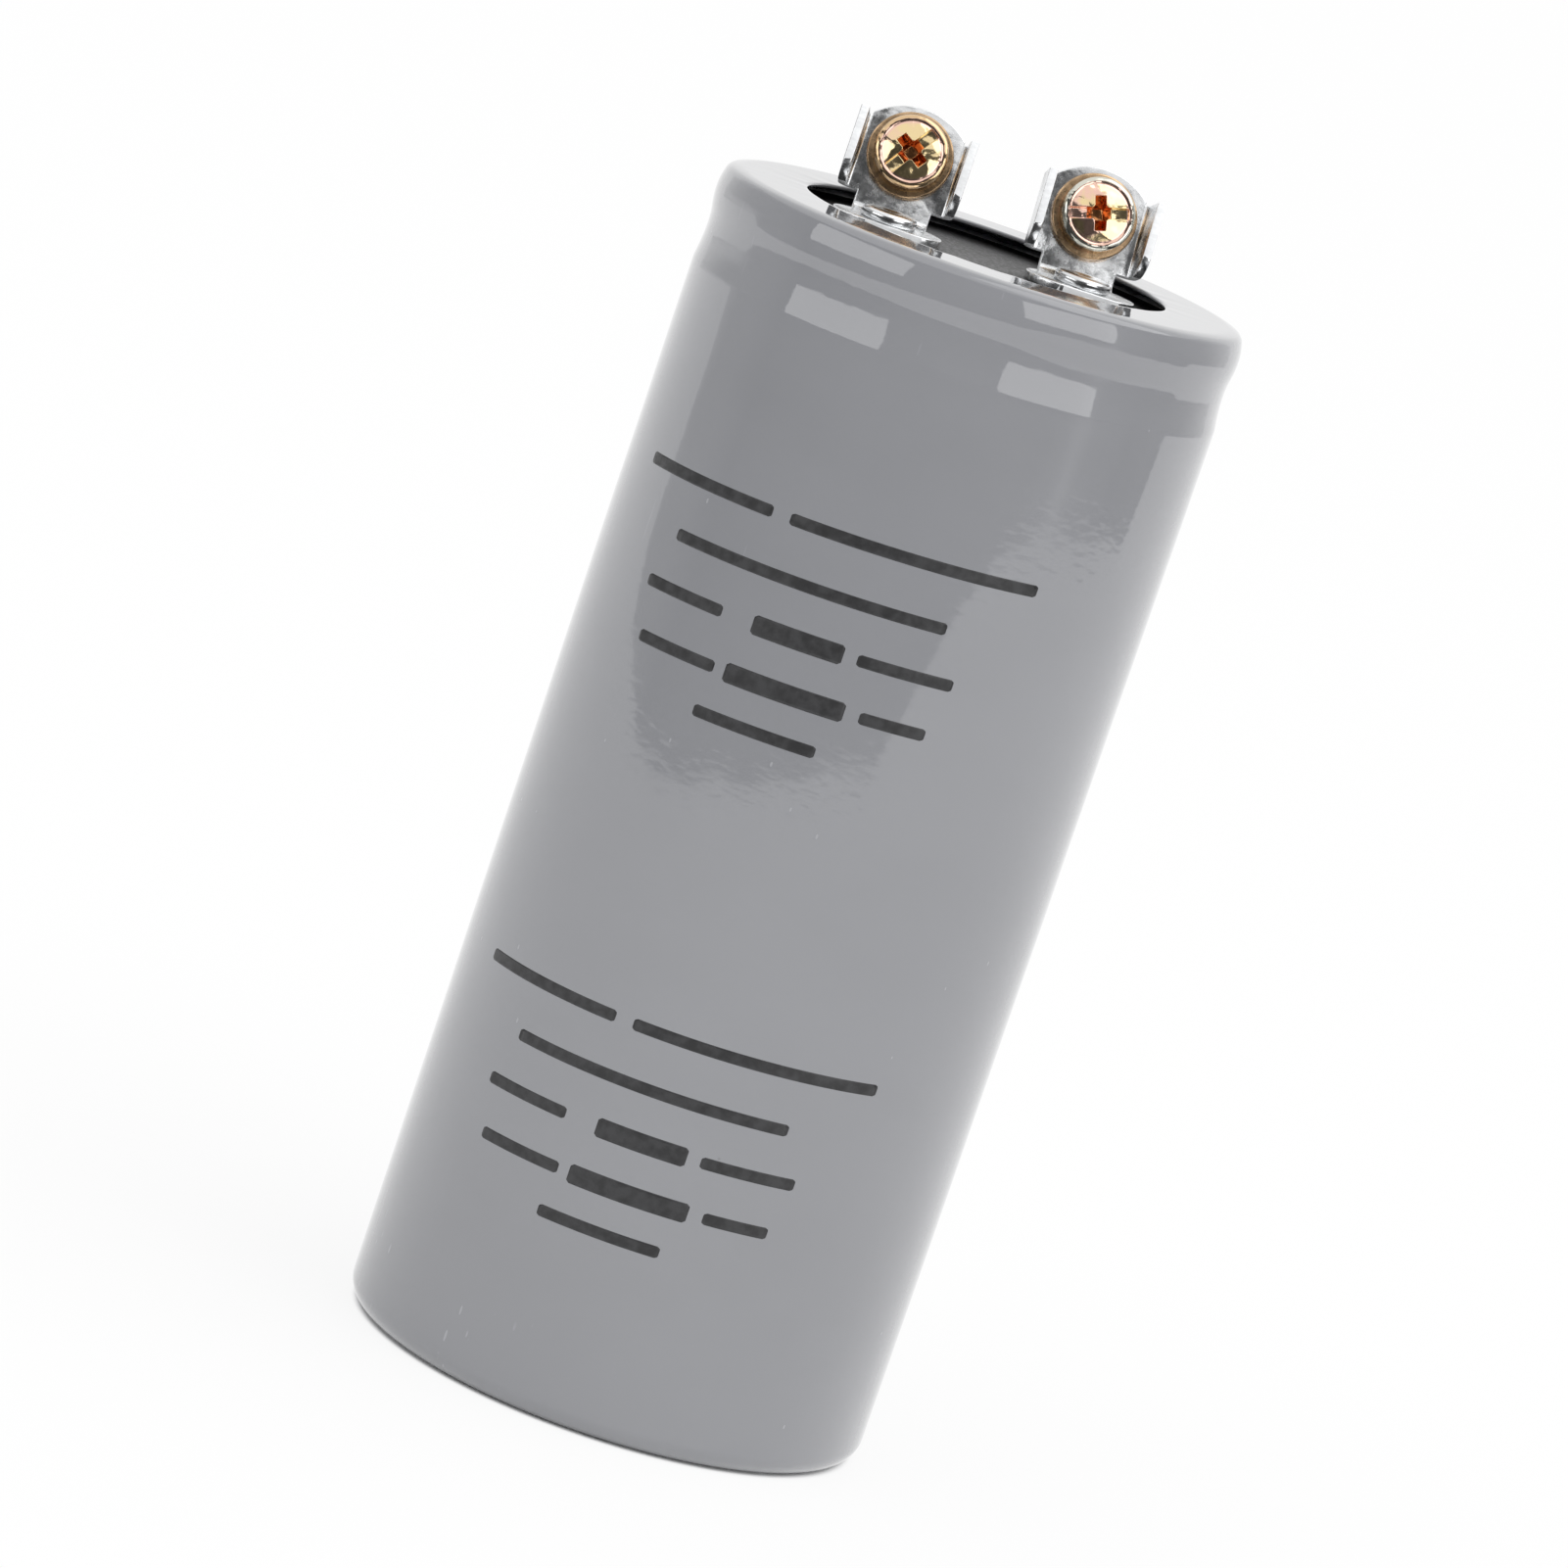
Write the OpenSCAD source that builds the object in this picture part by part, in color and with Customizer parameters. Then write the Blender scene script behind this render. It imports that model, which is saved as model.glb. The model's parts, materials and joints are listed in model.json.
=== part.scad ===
// Motor start capacitor: a wound element in a drawn aluminium can, closed by a
// rubber-faced header with two screw terminals and dressed in a grey shrink sleeve.
// Millimetres, +Z up, origin at the middle of the base. The terminal screws face -Y.

/* [Can] */
// Outside diameter of the bare can
can_d = 49.1; // [44:0.1:70]
// Height of the bare can, from its base to the top of its curled rim
can_h = 110.1; // [70:0.1:160]
// Thickness of the can's wall and base
can_wall = 0.6; // [0.4:0.05:0.8]
// Outside radius of the corner between the base and the wall
can_foot_r = 1; // [0.9:0.1:3]
// Outside radius of the curl that folds the rim over the header
curl_r = 1.6; // [1.4:0.1:2.5]

/* [Bead] */
// Depth of the rolled groove that the header rests on
bead_depth = 1.6; // [1:0.1:2]
// Height of the groove's upper flank
bead_up = 3.2; // [2.8:0.1:3.6]
// Height of the groove's lower flank
bead_down = 3.6; // [2:0.1:5]
// Outside radius of the groove's bottom
bead_nose_r = 1.2; // [0.8:0.1:1.4]

/* [Sleeve] */
// Thickness of the shrink sleeve
sleeve_t = 0.4; // [0.2:0.05:0.6]
// Depth to which the sleeve sinks into the bead groove
sleeve_dip = 0.3; // [0.1:0.05:0.8]
// Width of the sleeve's flat lap over the header, from the top of the curl
sleeve_top_lap = 5.7; // [3:0.05:6.5]
// Width of the sleeve's flat lap under the base
sleeve_base_lap = 4.55; // [2:0.05:12]

/* [Header] */
// Thickness of the stiff header disc
header_t = 1.6; // [1.2:0.1:3]
// Space between the header disc's edge and the can's wall
header_gap = 0.7; // [0.6:0.05:1]
// Thickness of the rubber facing in the middle of the header
seal_t = 1; // [0.8:0.1:2]
// Thickness to which the curl squeezes the rubber at the edge
seal_pinch_t = 0.5; // [0.3:0.05:0.8]
// Diameter of the relief hole in the header disc, which the rubber covers
vent_d = 4; // [2:0.1:6]
// Distance of the relief hole behind the middle of the header
vent_y = 10; // [8:0.1:13]

/* [Terminals] */
// Distance between the two rivets
pitch = 18.5; // [17:0.1:19.5]
// Angle by which each terminal is turned outwards
toe = 4; // [0:1:15]
// Angle by which each terminal leans back
lean = 16; // [0:1:25]
// Thickness of the terminals' sheet metal
sheet_t = 0.8; // [0.5:0.05:1]
// Width of the foot, across its round ends
foot_w = 10.4; // [9:0.1:12]
// Depth of the foot, front to back
foot_d = 6.4; // [6:0.1:7]
// Width of the neck between the foot and the plate
neck_w = 7.1; // [5:0.1:8]
// Space between the rivet's head and the start of the bend
rivet_room = 0.8; // [0.4:0.1:2]
// Inside radius of the bend
bend_r = 0.8; // [0.4:0.1:1.5]
// Height of the washer's lower edge above the bend
washer_rise = 1.4; // [0.6:0.1:2]
// Height of the plate's round top above the washer
plate_over = 0.6; // [0.2:0.1:2]
// Height of the plate's round top above its shoulders
plate_rise = 1.7; // [0.8:0.1:3]
// Height of the wings' lower edge above the bend
wing_low = 1; // [0.6:0.1:1.5]
// Distance of the wings' upper edge below the plate's shoulders
wing_drop = 0.3; // [0:0.1:2]
// Distance that the wings stand out in front of the plate
wing_d = 3.4; // [3:0.1:5]
// Angle by which the wings open outwards
wing_flare = 3; // [0:1:8]
// Space between the washer's edge and the folds at the wings
washer_room = 0.4; // [0.05:0.05:1]
// Inside radius of the folds at the wings
fold_r = 0.3; // [0.2:0.1:0.8]
// Radius of the wings' lower front corner
wing_corner_r = 2.2; // [1:0.1:2.6]
// Wall of the tapped collar behind the plate
collar_wall = 0.95; // [0.6:0.05:1.3]
// Length of the tapped collar
collar_h = 1.4; // [0.8:0.1:2.5]

/* [Screws and washers] */
// Diameter of the screw thread
screw_d = 4; // [3:0.1:4.2]
// Length of the screw under its head
screw_len = 8; // [6:0.5:10]
// Diameter of the screw head
head_d = 6.8; // [6:0.1:8]
// Height of the screw head
head_h = 2.6; // [2.2:0.1:3]
// Radius of the dome on the screw head
head_dome_r = 8; // [6:0.5:20]
// Radius of the screw head's edge
head_edge_r = 0.7; // [0.3:0.1:1]
// Width of the driver slot and of the cross recess's arms
slot_w = 1; // [0.8:0.05:1.2]
// Length of the driver slot
slot_len = 5.4; // [4.6:0.1:6]
// Depth of the driver slot
slot_depth = 0.9; // [0.5:0.1:1.2]
// Length of the cross recess, tip to tip
cross_len = 3.6; // [3:0.1:4.6]
// Depth of the cross recess
cross_depth = 1.8; // [1.2:0.1:2]
// Angle of the left screw's slot
slot_turn_left = 55; // [0:1:179]
// Angle of the right screw's slot
slot_turn_right = 15; // [0:1:179]
// Outside diameter of the screw washers
washer_d = 8; // [7.6:0.1:9.4]
// Thickness of the screw washers
washer_t = 0.8; // [0.5:0.1:1]

/* [Rivets] */
// Diameter of the rivet shank
rivet_d = 3; // [2.4:0.1:3.4]
// Diameter of the rivet head
rivet_head_d = 5.2; // [4.4:0.1:5.8]
// Height of the rivet head
rivet_head_h = 1.1; // [0.8:0.1:1.4]
// Diameter of the clinched end inside the can
clinch_d = 4.6; // [4:0.1:5.4]
// Height of the clinched end
clinch_h = 0.9; // [0.6:0.1:1.4]
// Radius of the edges of the rivet's two heads
rivet_edge_r = 0.4; // [0.2:0.05:0.5]
// Outside diameter of the washers under the clinched ends
burr_d = 6.4; // [5.5:0.1:8]
// Thickness of the washers under the clinched ends
burr_t = 0.8; // [0.5:0.1:1.2]

/* [Wound element] */
// Space between the wound element and the can's wall
roll_gap = 0.65; // [0.3:0.05:2]
// Height of the space between the wound element and the header, for the lead tabs
lead_room = 14.2; // [8:0.1:25]
// Diameter of the hollow left by the winding mandrel
mandrel_d = 6; // [3:0.5:10]
// Thickness of the insulating pad under the wound element
pad_t = 1.2; // [0.5:0.1:2]
// Width of the lead tabs
tab_w = 7; // [5:0.1:9]
// Thickness of the lead tabs
tab_t = 0.4; // [0.2:0.05:0.6]
// Distance from the rivet back to a tab's upright leg
tab_back = 9; // [7:0.1:12]
// Distance from the rivet forward to a tab's free end
tab_front = 3.8; // [3.4:0.1:6]
// Inside radius of the bend in a tab
tab_bend_r = 1.5; // [0.5:0.1:3]

/* [Hidden] */
$fn = 96;

// Clearance between pieces that fit in or over each other
fit = 0.05;
// Length by which a cutter runs past the piece that it cuts
past = 1;
// Largest angle between two points on a bend
arc_step = 6;
LEFT = -1;
RIGHT = 1;

can_r = can_d / 2;
can_in_r = can_r - can_wall;
skin = fit + sleeve_t;
body_r = can_r + skin;

// Levels, from the base up
can_z = skin;
floor_z = can_z + can_wall;
roll_z = floor_z + pad_t;
can_top_z = can_z + can_h;
lip_z = can_top_z - curl_r;
header_top_z = lip_z - seal_pinch_t;
header_z = header_top_z - header_t;
seal_top_z = header_top_z + seal_t;
roll_top_z = header_z - lead_room;
tab_z = header_z - tab_t;
burr_z = tab_z - burr_t;

// The bead: each flank is two tangent arcs that sink by its depth over its height
function flank_angle(sink, height) = 2 * atan(sink / height);
function flank_radii(sink, height) = (height * height + sink * sink) / (2 * sink);

bead_up_r = flank_radii(bead_depth, bead_up) - bead_nose_r;
bead_down_r = flank_radii(bead_depth, bead_down) - bead_nose_r;
bead_up_a = flank_angle(bead_depth, bead_up);
bead_down_a = flank_angle(bead_depth, bead_down);

// The header's lower edge rests on the inside of the upper flank
header_r = can_in_r - header_gap;
seat_r = bead_up_r - can_wall;
seat_drop = sqrt(max(0, pow(seat_r, 2) - pow(seat_r - header_gap, 2)));
bead_end_z = header_z + seat_drop - fit;
bead_z = bead_end_z - bead_up;
rim_len = lip_z - bead_end_z;

// The sleeve follows the can, and sinks less deeply over the bead
dip_up_r = flank_radii(sleeve_dip, bead_up) / 2;
dip_down_r = flank_radii(sleeve_dip, bead_down) / 2;
dip_up_a = flank_angle(sleeve_dip, bead_up);
dip_down_a = flank_angle(sleeve_dip, bead_down);
wall_len = bead_z - bead_down - can_z - can_foot_r;

// The curl's lip leaves this radius for the raised middle of the rubber
seal_mid_r = can_r - 2 * curl_r - fit;

bore_d = screw_d + 2 * fit;
rivet_bore_d = rivet_d + 2 * fit;

// The terminal's bend turns its foot up into its plate
bend_a = 90 - lean;
bend_y = rivet_head_d / 2 + rivet_room;
plate_y = bend_y + (bend_r + sheet_t) * sin(bend_a);
plate_z = (bend_r + sheet_t) * (1 - cos(bend_a));

// Heights up the plate, from the end of the bend
screw_z = washer_rise + washer_d / 2;
plate_top = screw_z + washer_d / 2 + plate_over;
wing_h = plate_top - plate_rise - wing_drop - wing_low;

// The head's dome comes down a little above the start of its rounded edge
head_crown_r = head_d / 2 - head_edge_r;
head_dome_drop = head_dome_r - sqrt(pow(head_dome_r, 2) - pow(head_crown_r, 2));
head_shoulder_h = head_h - head_dome_drop - fit;

// The plate is flat between its folds, and its top is an arc over that width
fold_x = washer_d / 2 + washer_room;
plate_top_r = (pow(fold_x, 2) + pow(plate_rise, 2)) / (2 * plate_rise);

function ahead(angle) = [cos(angle), sin(angle)];
function leftward(angle) = [-sin(angle), cos(angle)];

// Stations along a sheet's right side, each [point, heading]. A step is [length, 0]
// for a straight stretch or [radius, angle] for a bend, to the left if positive
function stations(steps, at, heading, i = 0) =
    i == len(steps) ? [[at, heading]] :
    let (size = steps[i][0], turn = steps[i][1], side = sign(turn))
    turn == 0
        ? concat([[at, heading]], stations(steps, at + size * ahead(heading), heading, i + 1))
        : let (hub = at + side * size * leftward(heading), count = ceil(abs(turn) / arc_step))
          concat([for (k = [0:count - 1])
                     let (angle = heading + turn * k / count)
                     [hub - side * size * leftward(angle), angle]],
                 stations(steps, hub - side * size * leftward(heading + turn), heading + turn, i + 1));

// Outline of a sheet's section, its thickness on the left of the steps
function sheet_outline(steps, t, at = [0, 0], heading = 0) =
    let (line = stations(steps, at, heading))
    concat([for (s = line) s[0]],
           [for (k = [len(line) - 1:-1:0]) line[k][0] + t * leftward(line[k][1])]);

// An outline laid in the Y-Z plane and given a width along X
module across(width) {
    rotate([90, 0, 90]) linear_extrude(width, center = true) children();
}

// A round head with a softened edge, standing on Z = 0
module button(d, h, edge_r) {
    rotate_extrude() {
        square([d / 2 - edge_r, h]);
        square([d / 2, h - edge_r]);
        translate([d / 2 - edge_r, h - edge_r])
            intersection() {
                circle(edge_r);
                square(edge_r);
            }
    }
}

module ring(d_out, d_in, h) {
    difference() {
        cylinder(d = d_out, h = h);
        translate([0, 0, -past]) cylinder(d = d_in, h = h + 2 * past);
    }
}

// The rivet's axis, at the level of the rubber's face, with the terminal's turn
module at_rivet(side) {
    translate([side * pitch / 2, 0, seal_top_z]) rotate([0, 0, side * toe]) children();
}

// The plate's frame: X across, Z up the plate from the bend, its back face on Y = 0
module at_plate(side) {
    at_rivet(side) translate([0, plate_y, plate_z]) rotate([-lean, 0, 0]) children();
}

// The foot's frame, seen from the plate's frame: the rivet's axis, the foot on Z = 0
module plate_to_foot() {
    rotate([lean, 0, 0]) translate([0, -plate_y, -plate_z]) children();
}

// The screw's axis, seen from the plate's frame: Z points out of the plate's front
module plate_to_screw() {
    translate([0, -sheet_t, screw_z]) rotate([90, 0, 0]) children();
}

module rivet_holes(z, h) {
    for (side = [LEFT, RIGHT])
        translate([side * pitch / 2, 0, z - past]) cylinder(d = rivet_bore_d, h = h + 2 * past);
}

// Shrink sleeve, lapped over the curl at the top and under the base
module outer_sleeve() {
    color("#96979b")
    rotate_extrude()
        polygon(sheet_outline([[sleeve_base_lap, 0],
                               [can_foot_r + skin, 90],
                               [wall_len, 0],
                               [dip_down_r, dip_down_a],
                               [dip_down_r, -dip_down_a],
                               [dip_up_r, -dip_up_a],
                               [dip_up_r, dip_up_a],
                               [rim_len, 0],
                               [curl_r + skin, 90],
                               [sleeve_top_lap, 0]],
                              sleeve_t, [can_r - can_foot_r - sleeve_base_lap, 0]));
}

// Drawn can, with the rolled bead under the header and the rim curled over it
module can() {
    color("#c9cbcd")
    rotate_extrude()
        polygon(sheet_outline([[can_r - can_foot_r, 0],
                               [can_foot_r, 90],
                               [wall_len, 0],
                               [bead_down_r, bead_down_a],
                               [bead_nose_r, -bead_down_a],
                               [bead_nose_r, -bead_up_a],
                               [bead_up_r, bead_up_a],
                               [rim_len, 0],
                               [curl_r, 180]],
                              can_wall, [0, can_z]));
}

// Stiff laminate disc that carries the terminals
module header_disc() {
    color("#4a3324")
    difference() {
        translate([0, 0, header_z]) cylinder(r = header_r, h = header_t);
        rivet_holes(header_z, header_t);
        translate([0, vent_y, header_z - past]) cylinder(d = vent_d, h = header_t + 2 * past);
    }
}

// Rubber facing, pinched at its edge by the curl's lip
module seal_disc() {
    color("#161616")
    difference() {
        union() {
            translate([0, 0, header_top_z]) cylinder(r = can_in_r - fit, h = seal_pinch_t);
            translate([0, 0, header_top_z]) cylinder(r = seal_mid_r, h = seal_t);
        }
        rivet_holes(header_top_z, seal_t);
    }
}

// Outline of the terminal's foot: a slot shape, and the neck that leaves its back
module foot_outline() {
    end_r = foot_d / 2;
    square([foot_w - foot_d, foot_d], center = true);
    for (side = [LEFT, RIGHT])
        translate([side * (foot_w / 2 - end_r), 0]) circle(end_r);
    translate([-neck_w / 2, 0]) square([neck_w, plate_y + past]);
}

// Outline of the terminal's plate: the neck, and the flat between the folds
module plate_outline() {
    translate([-neck_w / 2, -sheet_t]) square([neck_w, sheet_t + screw_z]);
    intersection() {
        translate([-fold_x, wing_low]) square([2 * fold_x, plate_top]);
        translate([0, plate_top - plate_top_r]) circle(plate_top_r);
    }
}

// The terminal's sheet, bent but not yet cut to its outline, in the plate's frame
module bent_sheet() {
    across(foot_w + 2 * past)
        polygon(sheet_outline([[plate_top + past, 0], [bend_r, -bend_a], [bend_y + foot_d / 2 + past, 0]],
                              sheet_t, [-sheet_t, plate_top + past], -90));
}

// Side outline of a wing, with its lower front corner rounded
module wing_outline() {
    front = -sheet_t - wing_d;
    difference() {
        translate([front - past, wing_low]) square([past - front, wing_h]);
        translate([front - past, wing_low - past])
            difference() {
                square(wing_corner_r + past);
                translate([wing_corner_r + past, wing_corner_r + past]) circle(wing_corner_r);
            }
    }
}

// One wing, folded forward from the plate's edge
module wing() {
    intersection() {
        translate([0, 0, wing_low])
            linear_extrude(wing_h)
                mirror([0, 1])
                    polygon(sheet_outline([[fold_x, 0],
                                           [fold_r + sheet_t, 90 - wing_flare],
                                           [wing_d - fold_r, 0]], sheet_t));
        across(4 * fold_x) wing_outline();
    }
}

// Terminal stamped from one sheet: foot, leaning plate, two wings, tapped collar
module terminal(side) {
    color("#c4c6c8")
    at_plate(side)
        difference() {
            union() {
                intersection() {
                    bent_sheet();
                    rotate([90, 0, 0]) linear_extrude(4 * sheet_t, center = true) plate_outline();
                }
                intersection() {
                    bent_sheet();
                    plate_to_foot()
                        translate([0, 0, -past]) linear_extrude(plate_z + 2 * past) foot_outline();
                }
                wing();
                mirror([1, 0, 0]) wing();
                plate_to_screw()
                    translate([0, 0, -sheet_t - collar_h])
                        cylinder(d = bore_d + 2 * collar_wall, h = collar_h);
            }
            plate_to_foot() translate([0, 0, -past]) cylinder(d = rivet_bore_d, h = sheet_t + 2 * past);
            plate_to_screw()
                translate([0, 0, -sheet_t - collar_h - past])
                    cylinder(d = bore_d, h = sheet_t + collar_h + 2 * past);
        }
}

// Rivet from the terminal's foot to the lead tab, clinched inside the can
module rivet(side) {
    head_z = seal_top_z + sheet_t;
    color("#d4d6d8")
    translate([side * pitch / 2, 0, 0]) {
        translate([0, 0, head_z]) button(rivet_head_d, rivet_head_h, rivet_edge_r);
        translate([0, 0, burr_z]) cylinder(d = rivet_d, h = head_z - burr_z);
        translate([0, 0, burr_z]) mirror([0, 0, 1]) button(clinch_d, clinch_h, rivet_edge_r);
    }
}

// Cutter for one arm pair of the cross recess, which narrows towards its bottom
module cross_arm() {
    top = cross_len / 2;
    rotate([90, 0, 0])
        linear_extrude(slot_w, center = true)
            polygon([[-slot_w / 2, head_h - cross_depth], [slot_w / 2, head_h - cross_depth],
                     [top, head_h], [top, head_h + past], [-top, head_h + past], [-top, head_h]]);
}

// Pan-head screw with a driver slot across a cross recess
module screw(side, slot_turn) {
    color("#c49a52")
    at_plate(side) plate_to_screw() translate([0, 0, washer_t]) rotate([0, 0, slot_turn]) {
        difference() {
            union() {
                button(head_d, head_shoulder_h, head_edge_r);
                intersection() {
                    cylinder(d = head_d - head_edge_r, h = head_h);
                    translate([0, 0, head_h - head_dome_r]) sphere(head_dome_r);
                }
            }
            translate([-slot_len / 2, -slot_w / 2, head_h - slot_depth])
                cube([slot_len, slot_w, slot_depth + past]);
            cross_arm();
            rotate([0, 0, 90]) cross_arm();
        }
        translate([0, 0, -screw_len]) cylinder(d = screw_d, h = screw_len);
    }
}

module screw_washer(side) {
    color("#a88a5a")
    at_plate(side) plate_to_screw() ring(washer_d, bore_d, washer_t);
}

module burr_washer(side) {
    color("#c9cbcd")
    translate([side * pitch / 2, 0, burr_z]) ring(burr_d, rivet_bore_d, burr_t);
}

// Lead tab, riveted under the header and bent down to the wound element
module lead_tab(side) {
    color("#d9dbdd")
    translate([side * pitch / 2, 0, 0])
        difference() {
            translate([0, -tab_front, tab_z])
                across(tab_w)
                    polygon(sheet_outline([[tab_front + tab_back - tab_bend_r, 0],
                                           [tab_bend_r, -90],
                                           [tab_z - tab_bend_r - roll_top_z, 0]], tab_t));
            translate([0, 0, tab_z - past]) cylinder(d = rivet_bore_d, h = tab_t + 2 * past);
        }
}

// Foil and paper wound on a mandrel, as one solid
module wound_element() {
    color("#c8b48c")
    translate([0, 0, roll_z]) ring(2 * (can_in_r - roll_gap), mandrel_d, roll_top_z - roll_z);
}

module base_pad() {
    color("#8a6f4d")
    translate([0, 0, floor_z]) cylinder(r = can_r - can_foot_r - fit, h = pad_t);
}

outer_sleeve();
can();
header_disc();
seal_disc();
terminal(LEFT);  // terminal_left
terminal(RIGHT);  // terminal_right
rivet(LEFT);  // rivet_left
rivet(RIGHT);  // rivet_right
screw(LEFT, slot_turn_left);  // screw_left
screw(RIGHT, slot_turn_right);  // screw_right
screw_washer(LEFT);  // screw_washer_left
screw_washer(RIGHT);  // screw_washer_right
burr_washer(LEFT);  // burr_washer_left
burr_washer(RIGHT);  // burr_washer_right
lead_tab(LEFT);  // lead_tab_left
lead_tab(RIGHT);  // lead_tab_right
wound_element();
base_pad();
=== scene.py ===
"""Looks of a motor start capacitor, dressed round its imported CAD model.

Lengths are in metres, in the CAD model's own frame: Z runs up the can from the middle of its
base, and the terminal screws face -Y.
"""

import json
import math

import bmesh
import bpy
import numpy as np
from bpy.props import FloatProperty, FloatVectorProperty, PointerProperty
from bpy.types import Operator, Panel, PropertyGroup
from mathutils import Matrix, Vector


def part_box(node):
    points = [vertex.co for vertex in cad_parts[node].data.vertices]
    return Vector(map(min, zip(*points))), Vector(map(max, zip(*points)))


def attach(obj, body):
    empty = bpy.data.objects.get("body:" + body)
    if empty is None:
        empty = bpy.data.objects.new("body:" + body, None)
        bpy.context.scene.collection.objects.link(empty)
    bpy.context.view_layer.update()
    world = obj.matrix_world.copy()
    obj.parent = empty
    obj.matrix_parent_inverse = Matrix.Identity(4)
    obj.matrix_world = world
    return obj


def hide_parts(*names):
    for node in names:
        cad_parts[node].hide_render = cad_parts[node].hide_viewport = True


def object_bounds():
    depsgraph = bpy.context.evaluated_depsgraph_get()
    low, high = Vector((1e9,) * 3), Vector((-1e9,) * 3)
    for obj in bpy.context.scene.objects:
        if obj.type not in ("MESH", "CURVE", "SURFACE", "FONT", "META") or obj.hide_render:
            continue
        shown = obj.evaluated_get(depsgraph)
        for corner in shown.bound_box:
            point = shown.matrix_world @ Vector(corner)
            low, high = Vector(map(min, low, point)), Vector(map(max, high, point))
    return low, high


bl_info = {
    "name": "Motor start capacitor",
    "version": (1, 0, 0),
    "blender": (4, 5, 0),
    "location": "3D View > Sidebar > Capacitor",
    "description": "Dresses the CAD model of a motor start capacitor and sets its stage",
    "category": "Add Mesh",
}

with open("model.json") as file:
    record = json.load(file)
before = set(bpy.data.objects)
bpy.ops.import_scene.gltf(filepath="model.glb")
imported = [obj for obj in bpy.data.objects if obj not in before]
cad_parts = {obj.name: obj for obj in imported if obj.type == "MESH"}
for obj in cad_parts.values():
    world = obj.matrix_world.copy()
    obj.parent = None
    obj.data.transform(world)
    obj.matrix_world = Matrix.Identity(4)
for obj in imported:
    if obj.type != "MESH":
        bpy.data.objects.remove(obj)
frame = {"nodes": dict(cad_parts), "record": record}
CAD_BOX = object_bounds()
NODES = frame["nodes"]
MOUNTS = {mount["name"]: mount for mount in frame["record"]["mounts"]}
SIDES = ("left", "right")
BODY = "root"


# Sizes and colours


class SleeveSettings(PropertyGroup):
    """The shrink sleeve, from its lap under the base to its lap over the header."""

    film: FloatProperty(
        name="Film", description="Thickness of the sleeve",
        default=0.0004, unit="LENGTH", precision=5)
    base_lap: FloatProperty(
        name="Base lap", description="Width of the flat lap under the base",
        default=0.0039, unit="LENGTH", precision=5)
    top_lap: FloatProperty(
        name="Top lap", description="Width of the flat lap over the header",
        default=0.0058, unit="LENGTH", precision=5)
    foot_radius: FloatProperty(
        name="Foot radius", description="Radius of the corner at the base",
        default=0.0021, unit="LENGTH", precision=5)
    rim_side_r: FloatProperty(
        name="Rim side radius", description="Radius of the rim's gently rounded side",
        default=0.006, unit="LENGTH", precision=5)
    rim_turn: FloatProperty(
        name="Rim turn", description="Angle at which the rim's side goes over into its edge",
        default=math.radians(18), subtype="ANGLE")
    rim_edge_r: FloatProperty(
        name="Rim edge radius", description="Radius of the rim's upper edge",
        default=0.0009, unit="LENGTH", precision=5)
    crown_turn: FloatProperty(
        name="Crown turn", description="Slope at which the rim's edge goes over into its crown",
        default=math.radians(15), subtype="ANGLE")
    crown_r: FloatProperty(
        name="Crown radius",
        description="Radius of the rim's crown, between its edge and the flat lap",
        default=0.004, unit="LENGTH", precision=5)
    curl_r: FloatProperty(
        name="Curl radius", description="Radius of the film's inside over the can's curl",
        default=0.00165, unit="LENGTH", precision=5)
    groove_level: FloatProperty(
        name="Groove level", description="Height of the deepest line of the bead groove",
        default=0.105209, unit="LENGTH", precision=5)
    groove_depth: FloatProperty(
        name="Groove depth", description="Depth to which the film sinks into the bead",
        default=0.0003, unit="LENGTH", precision=5)
    flank_above: FloatProperty(
        name="Upper flank", description="Height of the groove's upper flank",
        default=0.0032, unit="LENGTH", precision=5)
    flank_below: FloatProperty(
        name="Lower flank", description="Height of the groove's lower flank",
        default=0.0036, unit="LENGTH", precision=5)
    flank_bend: FloatProperty(
        name="Flank bend", description="Radius of the bend from the wall into the lower flank",
        default=0.003, unit="LENGTH", precision=5)
    groove_bend: FloatProperty(
        name="Groove bend", description="Radius of the bend from the lower flank into the groove",
        default=0.018, unit="LENGTH", precision=5)
    unevenness: FloatProperty(
        name="Unevenness", description="Typical slope of the film's rise and fall on the wall",
        default=0.003)
    pucker: FloatProperty(
        name="Pucker", description="Height of the gathers at the edge of the top lap",
        default=0.000012, unit="LENGTH", precision=6)
    colour: FloatVectorProperty(
        name="Colour", description="Grey of the film", subtype="COLOR", size=3,
        default=(0.245, 0.249, 0.264))


class InkSettings(PropertyGroup):
    """The printed marks on the sleeve: plain bars in place of words."""

    thickness: FloatProperty(
        name="Thickness", description="Thickness of the ink",
        default=0.00001, unit="LENGTH", precision=6)
    block_pitch: FloatProperty(
        name="Block pitch", description="Height between the two printed blocks",
        default=0.0476, unit="LENGTH", precision=5)
    block_step: FloatProperty(
        name="Block step", description="Distance by which the lower block sits further round",
        default=0.0013, unit="LENGTH", precision=5)
    slant: FloatProperty(
        name="Slant", description="Angle by which the print climbs to the right",
        default=math.radians(1.2), subtype="ANGLE")
    turn: FloatProperty(
        name="Turn", description="Angle of the print's middle round the can, from the front",
        default=math.radians(-5), subtype="ANGLE")
    corner: FloatProperty(
        name="Corner", description="Corner radius of the bars",
        default=0.0003, unit="LENGTH", precision=5)
    colour: FloatVectorProperty(
        name="Colour", description="Black of the ink",
        subtype="COLOR", size=3, default=(0.016, 0.016, 0.017))


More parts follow.
